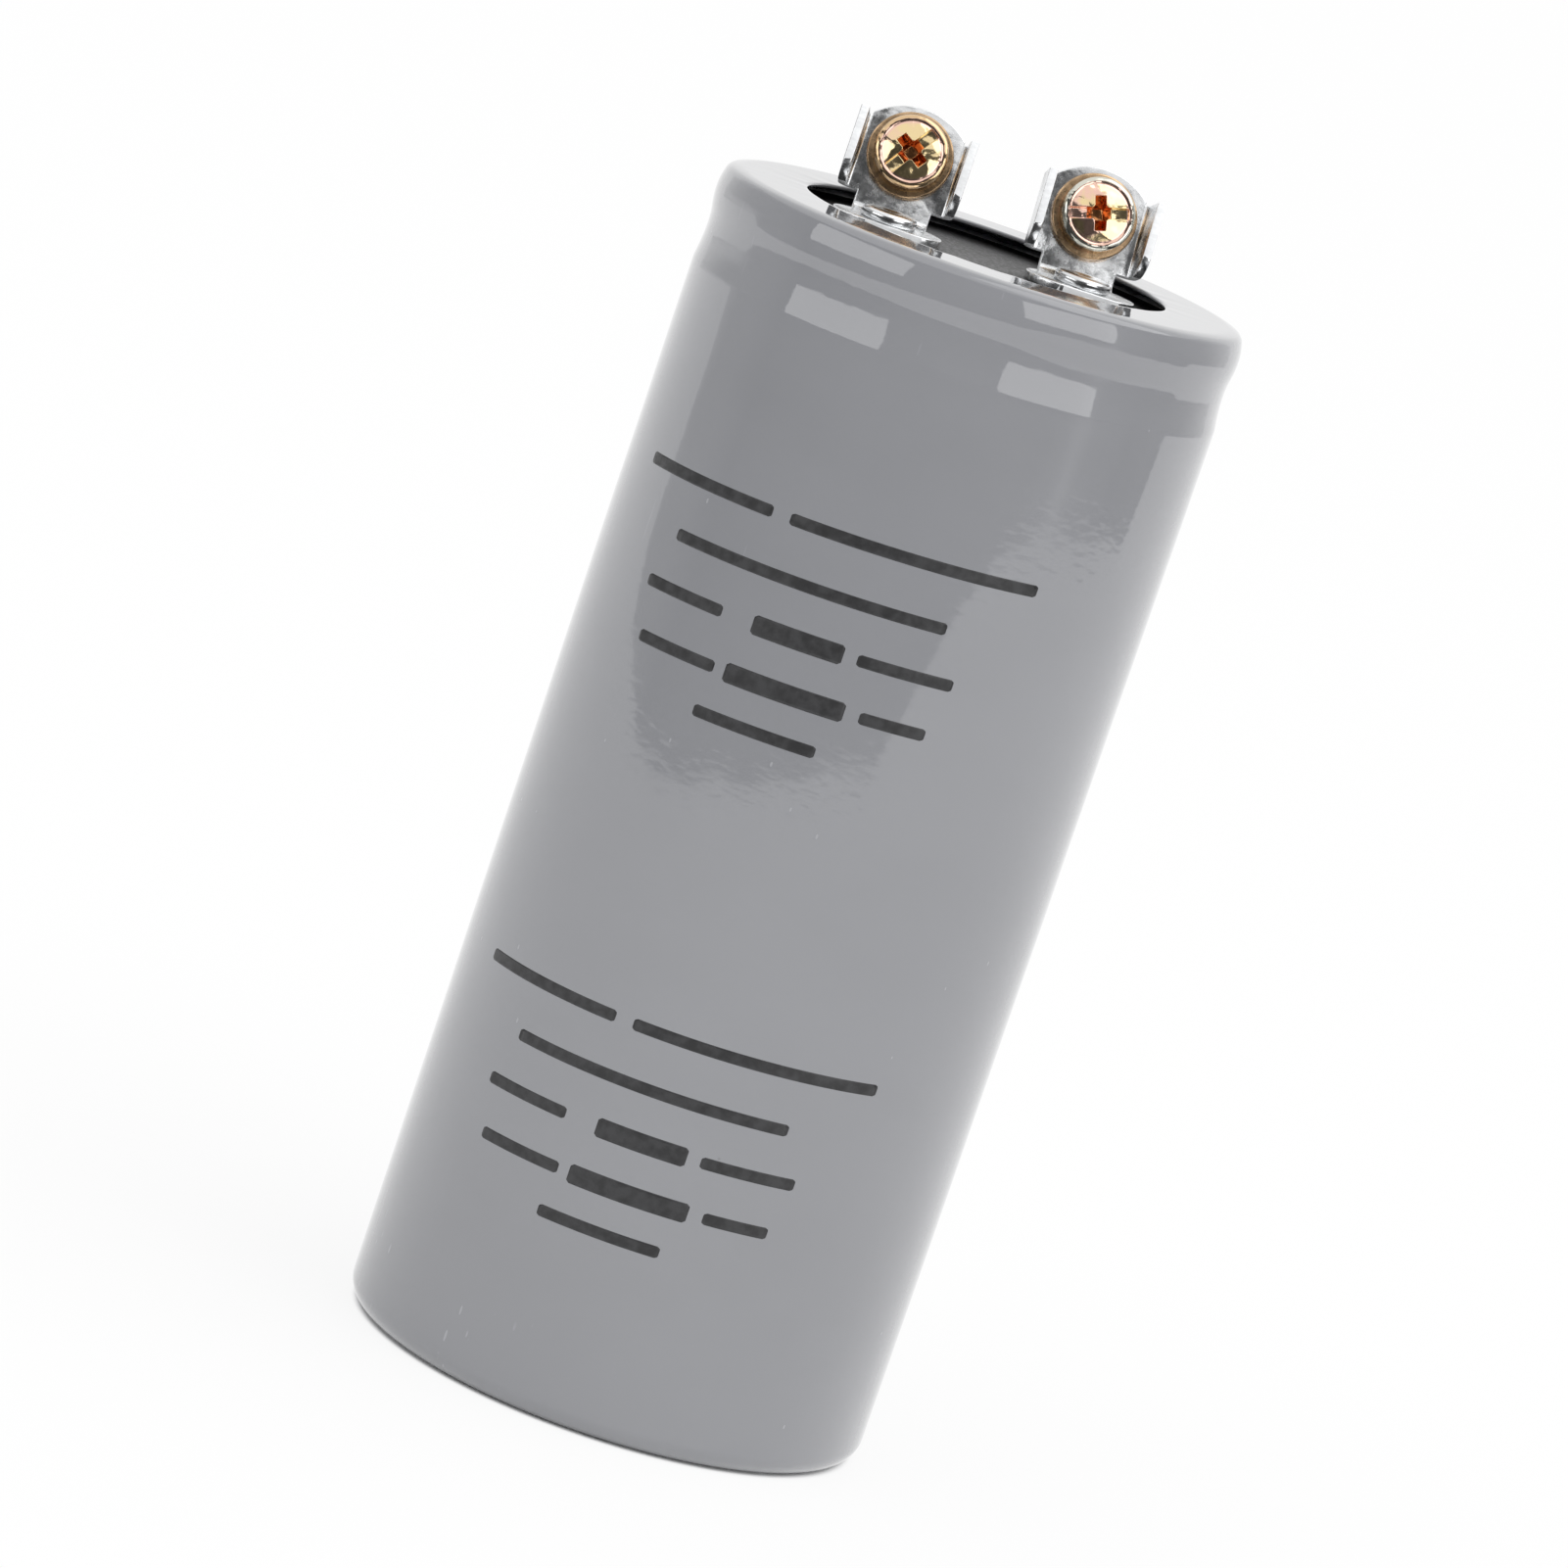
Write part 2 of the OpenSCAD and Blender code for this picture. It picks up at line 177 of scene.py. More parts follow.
class TerminalSettings(PropertyGroup):
    """The folded sheet terminals."""

    sheet: FloatProperty(
        name="Sheet", description="Thickness of the sheet",
        default=0.0008, unit="LENGTH", precision=5)
    edge_round: FloatProperty(
        name="Edge rounding", description="Rounding of the stamped edges",
        default=0.00012, unit="LENGTH", precision=5)
    colour: FloatVectorProperty(
        name="Colour", description="Bright tin plate",
        subtype="COLOR", size=3, default=(0.80, 0.81, 0.82))


class ScrewSettings(PropertyGroup):
    """The terminal screws."""

    head_d: FloatProperty(
        name="Head diameter", description="Diameter of the pan head",
        default=0.0068, unit="LENGTH", precision=5)
    head_h: FloatProperty(
        name="Head height", description="Height of the pan head",
        default=0.0026, unit="LENGTH", precision=5)
    dome_r: FloatProperty(
        name="Dome radius", description="Radius of the dome on the head",
        default=0.008, unit="LENGTH", precision=5)
    edge_r: FloatProperty(
        name="Edge radius", description="Radius of the bead round the head's edge",
        default=0.00045, unit="LENGTH", precision=5)
    face_sink: FloatProperty(
        name="Face sink", description="Depth of the dome's foot behind the bead",
        default=0.00004, unit="LENGTH", precision=5)
    seat: FloatProperty(
        name="Seat", description="Height of the head over the plate, which the washer takes up",
        default=0.0008, unit="LENGTH", precision=5)
    slot_w: FloatProperty(
        name="Slot width", description="Width of the slot and of the cross's arms",
        default=0.001, unit="LENGTH", precision=5)
    slot_len: FloatProperty(
        name="Slot length", description="Length of the slot",
        default=0.0054, unit="LENGTH", precision=5)
    slot_depth: FloatProperty(
        name="Slot depth", description="Depth of the slot",
        default=0.0009, unit="LENGTH", precision=5)
    cross_len: FloatProperty(
        name="Cross length", description="Length of the cross recess, tip to tip",
        default=0.0036, unit="LENGTH", precision=5)
    cross_depth: FloatProperty(
        name="Cross depth", description="Depth of the cross recess",
        default=0.0018, unit="LENGTH", precision=5)
    turn_left: FloatProperty(
        name="Left turn", description="Angle of the left screw's slot",
        default=math.radians(55), subtype="ANGLE")
    turn_right: FloatProperty(
        name="Right turn", description="Angle of the right screw's slot",
        default=math.radians(15), subtype="ANGLE")
    thread_d: FloatProperty(
        name="Thread diameter", description="Outside diameter of the thread",
        default=0.004, unit="LENGTH", precision=5)
    thread_depth: FloatProperty(
        name="Thread depth", description="Depth of the thread",
        default=0.0004, unit="LENGTH", precision=5)
    thread_pitch: FloatProperty(
        name="Thread pitch", description="Rise of the thread in one turn",
        default=0.0007, unit="LENGTH", precision=5)
    length: FloatProperty(
        name="Length", description="Length under the head",
        default=0.008, unit="LENGTH", precision=5)
    gold: FloatVectorProperty(
        name="Gold", description="Main colour of the chromated zinc", subtype="COLOR", size=3,
        default=(0.86, 0.68, 0.38))
    rose: FloatVectorProperty(
        name="Rose", description="Pink sheen of the chromated zinc", subtype="COLOR", size=3,
        default=(0.88, 0.58, 0.47))
    brass: FloatVectorProperty(
        name="Brass", description="Darker gold along the left head's edge", subtype="COLOR", size=3,
        default=(0.74, 0.52, 0.30))
    # Painted highlight: a pale colour laid on the bead round the right head's edge.
    edge_highlight_silver: FloatVectorProperty(
        name="Silver", description="Pale sheen along the right head's edge",
        subtype="COLOR", size=3,
        default=(0.70, 0.69, 0.60))
    rust: FloatVectorProperty(
        name="Rust", description="Deep orange in the cross", subtype="COLOR", size=3,
        default=(0.64, 0.27, 0.11))


class WasherSettings(PropertyGroup):
    """The round washers under the screw heads."""

    outside_d: FloatProperty(
        name="Diameter", description="Outside diameter", default=0.008, unit="LENGTH", precision=5)
    inside_d: FloatProperty(
        name="Hole", description="Diameter of the hole", default=0.0041, unit="LENGTH", precision=5)
    thickness: FloatProperty(
        name="Thickness", description="Thickness of the washer",
        default=0.0008, unit="LENGTH", precision=5)
    edge_r: FloatProperty(
        name="Edge radius", description="Rounding of the stamped edges",
        default=0.0002, unit="LENGTH", precision=5)
    colour: FloatVectorProperty(
        name="Colour", description="Tan of the dull chromated zinc", subtype="COLOR", size=3,
        default=(0.50, 0.34, 0.20))


class RivetSettings(PropertyGroup):
    """The rivets through the header."""

    head_d: FloatProperty(
        name="Head diameter", description="Diameter of the head",
        default=0.0052, unit="LENGTH", precision=5)
    head_h: FloatProperty(
        name="Head height", description="Height of the head",
        default=0.0011, unit="LENGTH", precision=5)
    shank_d: FloatProperty(
        name="Shank diameter", description="Diameter of the shank",
        default=0.003, unit="LENGTH", precision=5)
    clinch_d: FloatProperty(
        name="Clinch diameter", description="Diameter of the clinched end",
        default=0.0046, unit="LENGTH", precision=5)
    clinch_h: FloatProperty(
        name="Clinch height", description="Height of the clinched end",
        default=0.0009, unit="LENGTH", precision=5)
    edge_r: FloatProperty(
        name="Edge radius", description="Rounding of both heads",
        default=0.0004, unit="LENGTH", precision=5)
    dimple: FloatProperty(
        name="Dimple", description="Depth of the setting tool's mark in the head",
        default=0.00018, unit="LENGTH", precision=5)
    colour: FloatVectorProperty(
        name="Colour", description="Bright rivet metal",
        subtype="COLOR", size=3, default=(0.78, 0.79, 0.80))


class StageSettings(PropertyGroup):
    """Floor, light and camera."""

    eye: FloatVectorProperty(
        name="Eye", description="Place of the camera", subtype="TRANSLATION", size=3,
        default=(-0.05927, -0.67741, 0.18010))
    aim: FloatVectorProperty(
        name="Aim", description="Point at the middle of the picture", subtype="TRANSLATION", size=3,
        default=(-0.00164, 0.00014, 0.05811))
    roll: FloatProperty(
        name="Roll", description="Turn of the camera about its line of sight",
        default=0.3292, subtype="ANGLE")
    lens: FloatProperty(
        name="Lens", description="Focal length, in millimetres on a 36 mm sensor", default=172.6)
    floor_size: FloatProperty(
        name="Floor size", description="Radius of the floor", default=6.0, unit="LENGTH")
    foot_r: FloatProperty(
        name="Foot", description="Radius at the can's foot up to which the shadow stays full",
        default=0.0236, unit="LENGTH", precision=4)
    room_r: FloatProperty(
        name="Room radius", description="Distance of the dark room's wall",
        default=1.1, unit="LENGTH")
    room_h: FloatProperty(
        name="Room height", description="Height of the dark room's wall",
        default=0.79, unit="LENGTH")
    sky: FloatProperty(
        name="Sky", description="Level of the light from all round", default=0.72)


# Lattices of points


def lattice_faces(rows, cols, rows_closed, cols_closed):
    """Four-sided faces between neighbours of a rows by cols lattice, listed row by row.

    A closed direction joins its last line to its first. A face turns from its column direction to
    its row direction, so it looks outwards where the rows climb and the columns run anticlockwise.
    """
    row, col = np.meshgrid(
        np.arange(rows if rows_closed else rows - 1),
        np.arange(cols if cols_closed else cols - 1), indexing="ij")
    row_next, col_next = (row + 1) % rows, (col + 1) % cols
    corners = (row * cols + col, row * cols + col_next,
               row_next * cols + col_next, row_next * cols + col)
    return np.stack(corners, axis=-1).reshape(-1, 4)


def closed_between_poles(points, low, high):
    """A lattice closed round its columns and capped by one point below and one above.

    The caps are fans of triangles from each pole to the first or last row.
    """
    rows, cols = points.shape[:2]
    vertices = np.vstack([points.reshape(-1, 3), low, high])
    first = np.arange(cols)
    after = (first + 1) % cols
    last = (rows - 1) * cols
    low_fan = np.stack([np.full(cols, rows * cols), after, first], axis=-1)
    high_fan = np.stack([last + first, last + after, np.full(cols, rows * cols + 1)], axis=-1)
    quads = lattice_faces(rows, cols, False, True)
    return vertices, quads.tolist() + low_fan.tolist() + high_fan.tolist()


def turned(radius, height, angle):
    """Points at each radius and height, carried round Z through each angle."""
    radius, height, angle = np.broadcast_arrays(radius, height, angle)
    return np.stack([radius * np.cos(angle), radius * np.sin(angle), height], axis=-1)


def full_circle(count):
    return np.arange(count) * (2 * math.pi / count)


def smooth_step(value, low, high):
    """0 below low, 1 above high, and a cubic ease in between."""
    share = np.clip((value - low) / (high - low), 0.0, 1.0)
    return share * share * (3 - 2 * share)


def bent_line(steps, start, heading):
    """Points and headings along a line of straight and curved steps.

    A step is (length, 0, count) for a straight stretch or (radius, angle, count) for a bend, to
    the left if the angle is positive: the hub lies one radius to that side, and the points swing
    round it through count equal angles.
    """
    points, headings = [], []
    at = np.array(start, float)
    for size, turn, count in steps:
        share = np.arange(count) / count
        ahead = np.array([math.cos(heading), math.sin(heading)])
        left = np.array([-ahead[1], ahead[0]])
        if turn == 0:
            points.append(at + np.outer(share * size, ahead))
            headings.append(np.full(count, heading))
            at = at + size * ahead
        else:
            side = math.copysign(1.0, turn)
            hub = at + side * size * left
            swing = heading + turn * np.append(share, 1.0)
            arc = hub - side * size * np.stack([-np.sin(swing), np.cos(swing)], axis=-1)
            points.append(arc[:-1])
            headings.append(swing[:-1])
            at, heading = arc[-1], swing[-1]
    points.append(at[None])
    headings.append(np.array([heading]))
    return np.vstack(points), np.concatenate(headings)


def screw_frame(side):
    """Matrix from a screw's own frame to the part's.

    Its origin is on the plate's front, Z runs out along the screw and X lies level.
    """
    mount = MOUNTS[f"terminal_{side}"]
    out = Vector(mount["axis"]).normalized()
    level = Vector((0, 0, 1)).cross(out).normalized()
    turn = Matrix((level, out.cross(level), out)).transposed()
    return Matrix.Translation(Vector(mount["pos_m"])) @ turn.to_4x4()


def moved(points, matrix):
    """Points carried by a 4 by 4 matrix."""
    matrix = np.array(matrix)
    return points @ matrix[:3, :3].T + matrix[:3, 3]


def make_mesh(name, vertices, faces):
    mesh = bpy.data.meshes.new(name)
    mesh.from_pydata(vertices.tolist(), [], faces if isinstance(faces, list) else faces.tolist())
    mesh.shade_smooth()
    mesh.update()
    return mesh


def put_in_scene(name, data):
    """A new object in the scene, which holds a mesh, a lamp or a camera."""
    made = bpy.data.objects.new(name, data)
    bpy.context.scene.collection.objects.link(made)
    return made


def add_piece(name, mesh, material, replaces=()):
    """Puts a finished mesh into the scene as a piece that rides on the part."""
    piece = put_in_scene(name, mesh)
    mesh.materials.append(material)
    if replaces:
        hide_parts(*replaces)
    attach(piece, BODY)
    return piece


def mark_points(mesh, name, values):
    """Stores one number per point, for a material to read by its name."""
    mesh.attributes.new(name, "FLOAT", "POINT").data.foreach_set("value", values.astype(np.float32))


def dress_node(name, material):
    """Gives a CAD node its procedural material."""
    for slot in NODES[name].material_slots:
        slot.material = material


# Shader building blocks


def add_node(tree, kind, **settings):
    """A shader node with its properties set; a name with a capital sets the input of that name."""
    node = tree.nodes.new(kind)
    for name, value in settings.items():
        if name[0].isupper():
            node.inputs[name.replace("_", " ")].default_value = value
        else:
            setattr(node, name, value)
    return node


def first_node(tree, kind):
    """The node of a kind that a new tree starts with, such as its shader or its output."""
    return next(node for node in tree.nodes if node.type == kind)


def show_mix(tree, factor, first, second, output):
    """Mixes two shaders by a factor socket and sends them to the tree's output."""
    mix = add_node(tree, "ShaderNodeMixShader")
    for given, socket in zip((factor, first.outputs[0], second.outputs[0]), mix.inputs):
        tree.links.new(given, socket)
    tree.links.new(mix.outputs[0], first_node(tree, output).inputs["Surface"])


def blend_colour(tree, factor, first, second):
    """Mixes two colours, each a socket or plain numbers, by a factor socket."""
    mix = add_node(tree, "ShaderNodeMix", data_type="RGBA")
    tree.links.new(factor, mix.inputs[0])
    for socket, colour in ((mix.inputs[6], first), (mix.inputs[7], second)):
        if isinstance(colour, bpy.types.NodeSocket):
            tree.links.new(colour, socket)
        else:
            socket.default_value = (*colour, 1.0)
    return mix.outputs[2]


def ramp(tree, value, from_low, from_high, to_low=0.0, to_high=1.0):
    """Carries a value from one range to another, held at the ends with an eased middle."""
    node = add_node(tree, "ShaderNodeMapRange", interpolation_type="SMOOTHSTEP", From_Min=from_low,
                    From_Max=from_high, To_Min=to_low, To_Max=to_high)
    tree.links.new(value, node.inputs["Value"])
    return node.outputs[0]


def combine(tree, operation, first, second):
    """A math node on two values, each a socket or a number."""
    node = add_node(tree, "ShaderNodeMath", operation=operation)
    for socket, value in zip(node.inputs, (first, second)):
        if isinstance(value, bpy.types.NodeSocket):
            tree.links.new(value, socket)
        else:
            socket.default_value = value
    return node.outputs[0]


def new_group(name, inputs, outputs):
    """An empty shader group with its sockets, each a name, a kind and, for an input, a default."""
    group = bpy.data.node_groups.new(name, "ShaderNodeTree")
    for label, kind, default in inputs:
        socket = group.interface.new_socket(label, in_out="INPUT", socket_type=kind)
        if default is not None:
            socket.default_value = default
    for label, kind in outputs:
        group.interface.new_socket(label, in_out="OUTPUT", socket_type=kind)
    return group, group.nodes.new("NodeGroupInput"), group.nodes.new("NodeGroupOutput")


def mottle_group():
    """Cloudy change between two colours: noise of a given scale, with its middle stretched."""
    if "Mottle" in bpy.data.node_groups:
        return bpy.data.node_groups["Mottle"]
    group, given, result = new_group(
        "Mottle",
        [("Vector", "NodeSocketVector", None), ("Scale", "NodeSocketFloat", 100.0),
         ("Detail", "NodeSocketFloat", 3.0), ("Dark", "NodeSocketColor", None),
         ("Light", "NodeSocketColor", None)],
        [("Colour", "NodeSocketColor"), ("Mask", "NodeSocketFloat")])
    noise = add_node(group, "ShaderNodeTexNoise", Roughness=0.55)
    for name in ("Vector", "Scale", "Detail"):
        group.links.new(given.outputs[name], noise.inputs[name])
    mask = ramp(group, noise.outputs["Fac"], 0.32, 0.68)
    colour = blend_colour(group, mask, given.outputs["Dark"], given.outputs["Light"])
    group.links.new(colour, result.inputs["Colour"])
    group.links.new(mask, result.inputs["Mask"])
    return group


def scratch_group():
    """Hairline scratches: the borders between cells, kept only where a slower noise is high."""
    if "Hairline scratches" in bpy.data.node_groups:
        return bpy.data.node_groups["Hairline scratches"]
    group, given, result = new_group(
        "Hairline scratches",
        [("Vector", "NodeSocketVector", None), ("Scale", "NodeSocketFloat", 100.0),
         ("Width", "NodeSocketFloat", 0.02), ("Rarity", "NodeSocketFloat", 0.6)],
        [("Mask", "NodeSocketFloat")])
    cells = add_node(group, "ShaderNodeTexVoronoi", feature="DISTANCE_TO_EDGE")
    group.links.new(given.outputs["Vector"], cells.inputs["Vector"])
    group.links.new(given.outputs["Scale"], cells.inputs["Scale"])
    line = combine(group, "LESS_THAN", cells.outputs["Distance"], given.outputs["Width"])
    slow = add_node(group, "ShaderNodeTexNoise", Detail=2.0)
    group.links.new(given.outputs["Vector"], slow.inputs["Vector"])
    half = combine(group, "MULTIPLY", given.outputs["Scale"], 0.45)
    group.links.new(half, slow.inputs["Scale"])
    kept = combine(group, "GREATER_THAN", slow.outputs["Fac"], given.outputs["Rarity"])
    group.links.new(combine(group, "MULTIPLY", line, kept), result.inputs["Mask"])
    return group


def nick_group():
    """Small nicks along the can: spots in cells, kept only where a slow noise is high.

    The smaller the share, the longer the spots are drawn out upwards.
    """
    if "Nicks" in bpy.data.node_groups:
        return bpy.data.node_groups["Nicks"]
    group, given, result = new_group(
        "Nicks",
        [("Vector", "NodeSocketVector", None), ("Scale", "NodeSocketFloat", 400.0),
         ("Width", "NodeSocketFloat", 0.025), ("Share", "NodeSocketFloat", 0.3),
         ("Rarity", "NodeSocketFloat", 0.6)],
        [("Mask", "NodeSocketFloat")])
    draw = add_node(group, "ShaderNodeCombineXYZ", X=1.0, Y=1.0)
    group.links.new(given.outputs["Share"], draw.inputs["Z"])
    drawn = add_node(group, "ShaderNodeVectorMath", operation="MULTIPLY")
    group.links.new(given.outputs["Vector"], drawn.inputs[0])
    group.links.new(draw.outputs[0], drawn.inputs[1])
    cells = add_node(group, "ShaderNodeTexVoronoi")
    group.links.new(drawn.outputs[0], cells.inputs["Vector"])
    group.links.new(given.outputs["Scale"], cells.inputs["Scale"])
    spot = combine(group, "LESS_THAN", cells.outputs["Distance"], given.outputs["Width"])
    slow = add_node(group, "ShaderNodeTexNoise", Scale=45.0, Detail=1.0)
    group.links.new(given.outputs["Vector"], slow.inputs["Vector"])
    kept = combine(group, "GREATER_THAN", slow.outputs["Fac"], given.outputs["Rarity"])
    group.links.new(combine(group, "MULTIPLY", spot, kept), result.inputs["Mask"])
    return group


def grain_group():
    """Fine relief: noise of a given scale, as a height and as a value between low and high."""
    if "Fine grain" in bpy.data.node_groups:
        return bpy.data.node_groups["Fine grain"]
    group, given, result = new_group(
        "Fine grain",
        [("Vector", "NodeSocketVector", None), ("Scale", "NodeSocketFloat", 1000.0),
         ("Detail", "NodeSocketFloat", 2.0), ("Low", "NodeSocketFloat", 0.1),
         ("High", "NodeSocketFloat", 0.3)],
        [("Height", "NodeSocketFloat"), ("Value", "NodeSocketFloat")])
    noise = add_node(group, "ShaderNodeTexNoise", Roughness=0.5)
    for name in ("Vector", "Scale", "Detail"):
        group.links.new(given.outputs[name], noise.inputs[name])
    spread = add_node(group, "ShaderNodeMapRange", From_Min=0.25, From_Max=0.75)
    group.links.new(noise.outputs["Fac"], spread.inputs["Value"])
    group.links.new(given.outputs["Low"], spread.inputs["To Min"])
    group.links.new(given.outputs["High"], spread.inputs["To Max"])
    group.links.new(noise.outputs["Fac"], result.inputs["Height"])
    group.links.new(spread.outputs[0], result.inputs["Value"])
    return group


def tinted(colour, share):
    """A colour made darker or lighter by a share."""
    return tuple(min(1.0, channel * share) for channel in colour)


class Finish:
    """One material: its tree, its shader, and the groups placed on Object coordinates."""

    def __init__(self, name, stretch=(1.0, 1.0, 1.0)):
        self.material = bpy.data.materials.new(name)
        self.material.use_nodes = True
        self.tree = self.material.node_tree
        self.shader = first_node(self.tree, "BSDF_PRINCIPLED")
        coordinates = add_node(self.tree, "ShaderNodeTexCoord")
        self.place = coordinates.outputs["Object"]
        mapping = add_node(self.tree, "ShaderNodeMapping", Scale=stretch)
        self.tree.links.new(self.place, mapping.inputs["Vector"])
        self.stretched = mapping.outputs["Vector"]

    def plain(self, **values):
        """Sets inputs of the shader that are the same all over."""
        for name, value in values.items():
            self.shader.inputs[name.replace("_", " ")].default_value = value
        return self

    def feed(self, name, socket):
        """Drives one input of the shader by a socket."""
        self.tree.links.new(socket, self.shader.inputs[name])
        return self

    def use(self, group, **values):
        """Places a group on the coordinates, with its own values."""
        node = add_node(self.tree, "ShaderNodeGroup", node_tree=group)
        self.tree.links.new(self.stretched, node.inputs["Vector"])
        for name, value in values.items():
            colour = isinstance(value, (tuple, list))
            node.inputs[name].default_value = (*value, 1.0) if colour else value
        return node

    def clouds(self, colour, dark, light, **values):
        """Places the mottle between a darker and a lighter share of one colour."""
        dark, light = tinted(colour, dark), tinted(colour, light)
        return self.use(mottle_group(), Dark=dark, Light=light, **values)

    def pattern(self, kind, **settings):
        """Places a texture node on the coordinates as they are, without the stretch."""
        node = add_node(self.tree, kind, **settings)
        self.tree.links.new(self.place, node.inputs["Vector"])
        return node

    def attribute(self, name):
        """A number that the mesh keeps for each point."""
        return add_node(self.tree, "ShaderNodeAttribute", attribute_name=name).outputs["Fac"]

    def relief(self, height, depth):
        """Bumps the surface by a height socket, depth metres for a height of one."""
        bump = add_node(self.tree, "ShaderNodeBump", Strength=1.0, Distance=depth)
        self.tree.links.new(height, bump.inputs["Height"])
        return self.feed("Normal", bump.outputs["Normal"])

    def grained(self, colour, grain, depth):
        """Takes its colour from a socket, and its roughness and relief from the grain."""
        self.feed("Base Color", colour).feed("Roughness", grain.outputs["Value"])
        return self.relief(grain.outputs["Height"], depth)


# Finishes


def sleeve_finish(sleeve):
    """Glossy film: slow clouds in its grey and patches of fine level ripples.

    It has rare pale nicks and streaks, dark specks, and clusters of scuffs low on the left.
    """
    finish = Finish("glossy grey film", (0.7, 0.7, 1.3))
    tree = finish.tree
    grey = tuple(sleeve.colour)
    scraped, soiled = tinted(grey, 1.7), tinted(grey, 0.55)
    clouds = finish.clouds(grey, 0.985, 1.015, Scale=60.0, Detail=2.0)
    nicks = finish.use(nick_group(), Scale=520.0, Width=0.04, Share=0.25, Rarity=0.5)
    streaks = finish.use(nick_group(), Scale=700.0, Width=0.045, Share=0.025, Rarity=0.5)
    specks = finish.pattern("ShaderNodeTexVoronoi", Scale=85.0)
    scuffs = finish.use(nick_group(), Scale=1900.0, Width=0.17, Share=0.12, Rarity=0.0)
    clusters = finish.use(mottle_group(), Scale=260.0, Detail=1.0)
    place = add_node(tree, "ShaderNodeSeparateXYZ")
    tree.links.new(finish.place, place.inputs[0])
    low_left = combine(tree, "MULTIPLY", ramp(tree, place.outputs["Z"], 0.012, 0.006),
                       ramp(tree, place.outputs["X"], -0.006, -0.012))
    worn = combine(tree, "MULTIPLY", low_left,
                   ramp(tree, clusters.outputs["Mask"], 0.6, 1.0, 0.0, 0.5))
    colour = clouds.outputs["Colour"]
    for mask, tint in (
            (combine(tree, "MULTIPLY", nicks.outputs["Mask"], 0.35), scraped),
            (combine(tree, "MULTIPLY", streaks.outputs["Mask"], 0.12), scraped),
            (ramp(tree, specks.outputs["Distance"], 0.022, 0.012, 0.0, 0.5), soiled),
            (combine(tree, "MULTIPLY", scuffs.outputs["Mask"], worn), scraped)):
        colour = blend_colour(tree, mask, colour, tint)
    skin = finish.use(grain_group(), Scale=850.0, Detail=1.5, Low=0.03, High=0.06)
    patches = finish.use(mottle_group(), Scale=42.0, Detail=1.0)
    ripples = combine(tree, "MULTIPLY", skin.outputs["Height"],
                      ramp(tree, patches.outputs["Mask"], 0.35, 0.9, 0.35, 1.0))
    rougher = combine(tree, "MULTIPLY", nicks.outputs["Mask"], 0.3)
    finish.feed("Base Color", colour)
    finish.feed("Roughness", combine(tree, "ADD", skin.outputs["Value"], rougher))
    finish.relief(ripples, 0.000013)
    return finish.plain(IOR=1.53, Coat_Weight=0.6, Coat_Roughness=0.03).material


def ink_finish(ink):
    """Printing ink: almost black, thin in places, duller than the film under it."""
    finish = Finish("printing ink")
    patches = finish.clouds(tuple(ink.colour), 1.0, 2.2, Scale=900.0, Detail=4.0)
    grain = finish.use(grain_group(), Scale=2500.0, Detail=2.0, Low=0.3, High=0.5)
    return finish.grained(patches.outputs["Colour"], grain, 0.000006).material


def tin_finish(terminal):
    """Bright tin plate: cloudy grey, a slightly uneven mirror and fine scratches from the press."""
    finish = Finish("bright tin plate")
    tree = finish.tree
    bright = tuple(terminal.colour)
    clouds = finish.clouds(bright, 0.85, 1.1, Scale=700.0, Detail=4.0)
    hairlines = finish.use(scratch_group(), Scale=900.0, Width=0.03, Rarity=0.55)
    grain = finish.use(grain_group(), Scale=1400.0, Detail=3.0, Low=0.14, High=0.34)
    colour = blend_colour(tree, combine(tree, "MULTIPLY", hairlines.outputs["Mask"], 0.3),
                          clouds.outputs["Colour"], tinted(bright, 0.7))
    return finish.grained(colour, grain, 0.00003).plain(Metallic=1.0).material


def sheared_edge_painted_highlight_finish(terminal):
    """Sheared edge of the tin plate: rough, with fine lines across the sheet, and painted paler
    than the plate as a painted highlight along the edges.
    """
    finish = Finish("sheared tin plate with painted highlight", (1.0, 1.0, 3.0))
    # Painted highlight: the edge's colour is lifted above the plate's own colour.
    clouds = finish.clouds(tuple(terminal.colour), 1.05, 1.19, Scale=900.0, Detail=4.0)
    grain = finish.use(grain_group(), Scale=1500.0, Detail=4.0, Low=0.45, High=0.7)
    return finish.grained(clouds.outputs["Colour"], grain, 0.00001).material


def zinc_finish(screw, name, rose_share, edge):
    """Yellow chromated zinc: gold that drifts to rose, a rose ring and an edge of its own colour,
    which on the right screw is a pale painted highlight.

    The cross is deep orange, and slow lumps break the reflections into patches.
    """
    finish = Finish(name)
    tree = finish.tree
    drift = finish.use(mottle_group(), Scale=330.0, Detail=3.0)
    share = ramp(tree, drift.outputs["Mask"], 0.85 - rose_share, 1.35 - rose_share)
    colour = blend_colour(tree, share, tuple(screw.gold), tuple(screw.rose))
    # The rim mark colours the bead round the head's edge: darker gold on the left screw, a pale
    # painted highlight on the right one.
    for part, tint in (("ring", screw.rose), ("rim", edge), ("recess", screw.rust)):
        colour = blend_colour(tree, finish.attribute(part), colour, tuple(tint))
    lumps = finish.use(grain_group(), Scale=620.0, Detail=1.0)
    grain = finish.use(grain_group(), Scale=1800.0, Detail=2.0, Low=0.06, High=0.16)
    finish.feed("Base Color", colour).feed("Roughness", grain.outputs["Value"])
    fine = combine(tree, "MULTIPLY", grain.outputs["Height"], 0.1)
    finish.relief(combine(tree, "ADD", lumps.outputs["Height"], fine), 0.00022)
    return finish.plain(Metallic=1.0).material


def washer_finish(washer):
    """Dull chromated zinc: tan with brown clouds and a fine grain."""
    finish = Finish("dull chromated zinc")
    clouds = finish.clouds(tuple(washer.colour), 0.7, 1.25, Scale=600.0, Detail=4.0)
    grain = finish.use(grain_group(), Scale=1500.0, Detail=3.0, Low=0.18, High=0.36)
    return finish.grained(clouds.outputs["Colour"], grain, 0.00002).plain(Metallic=1.0).material


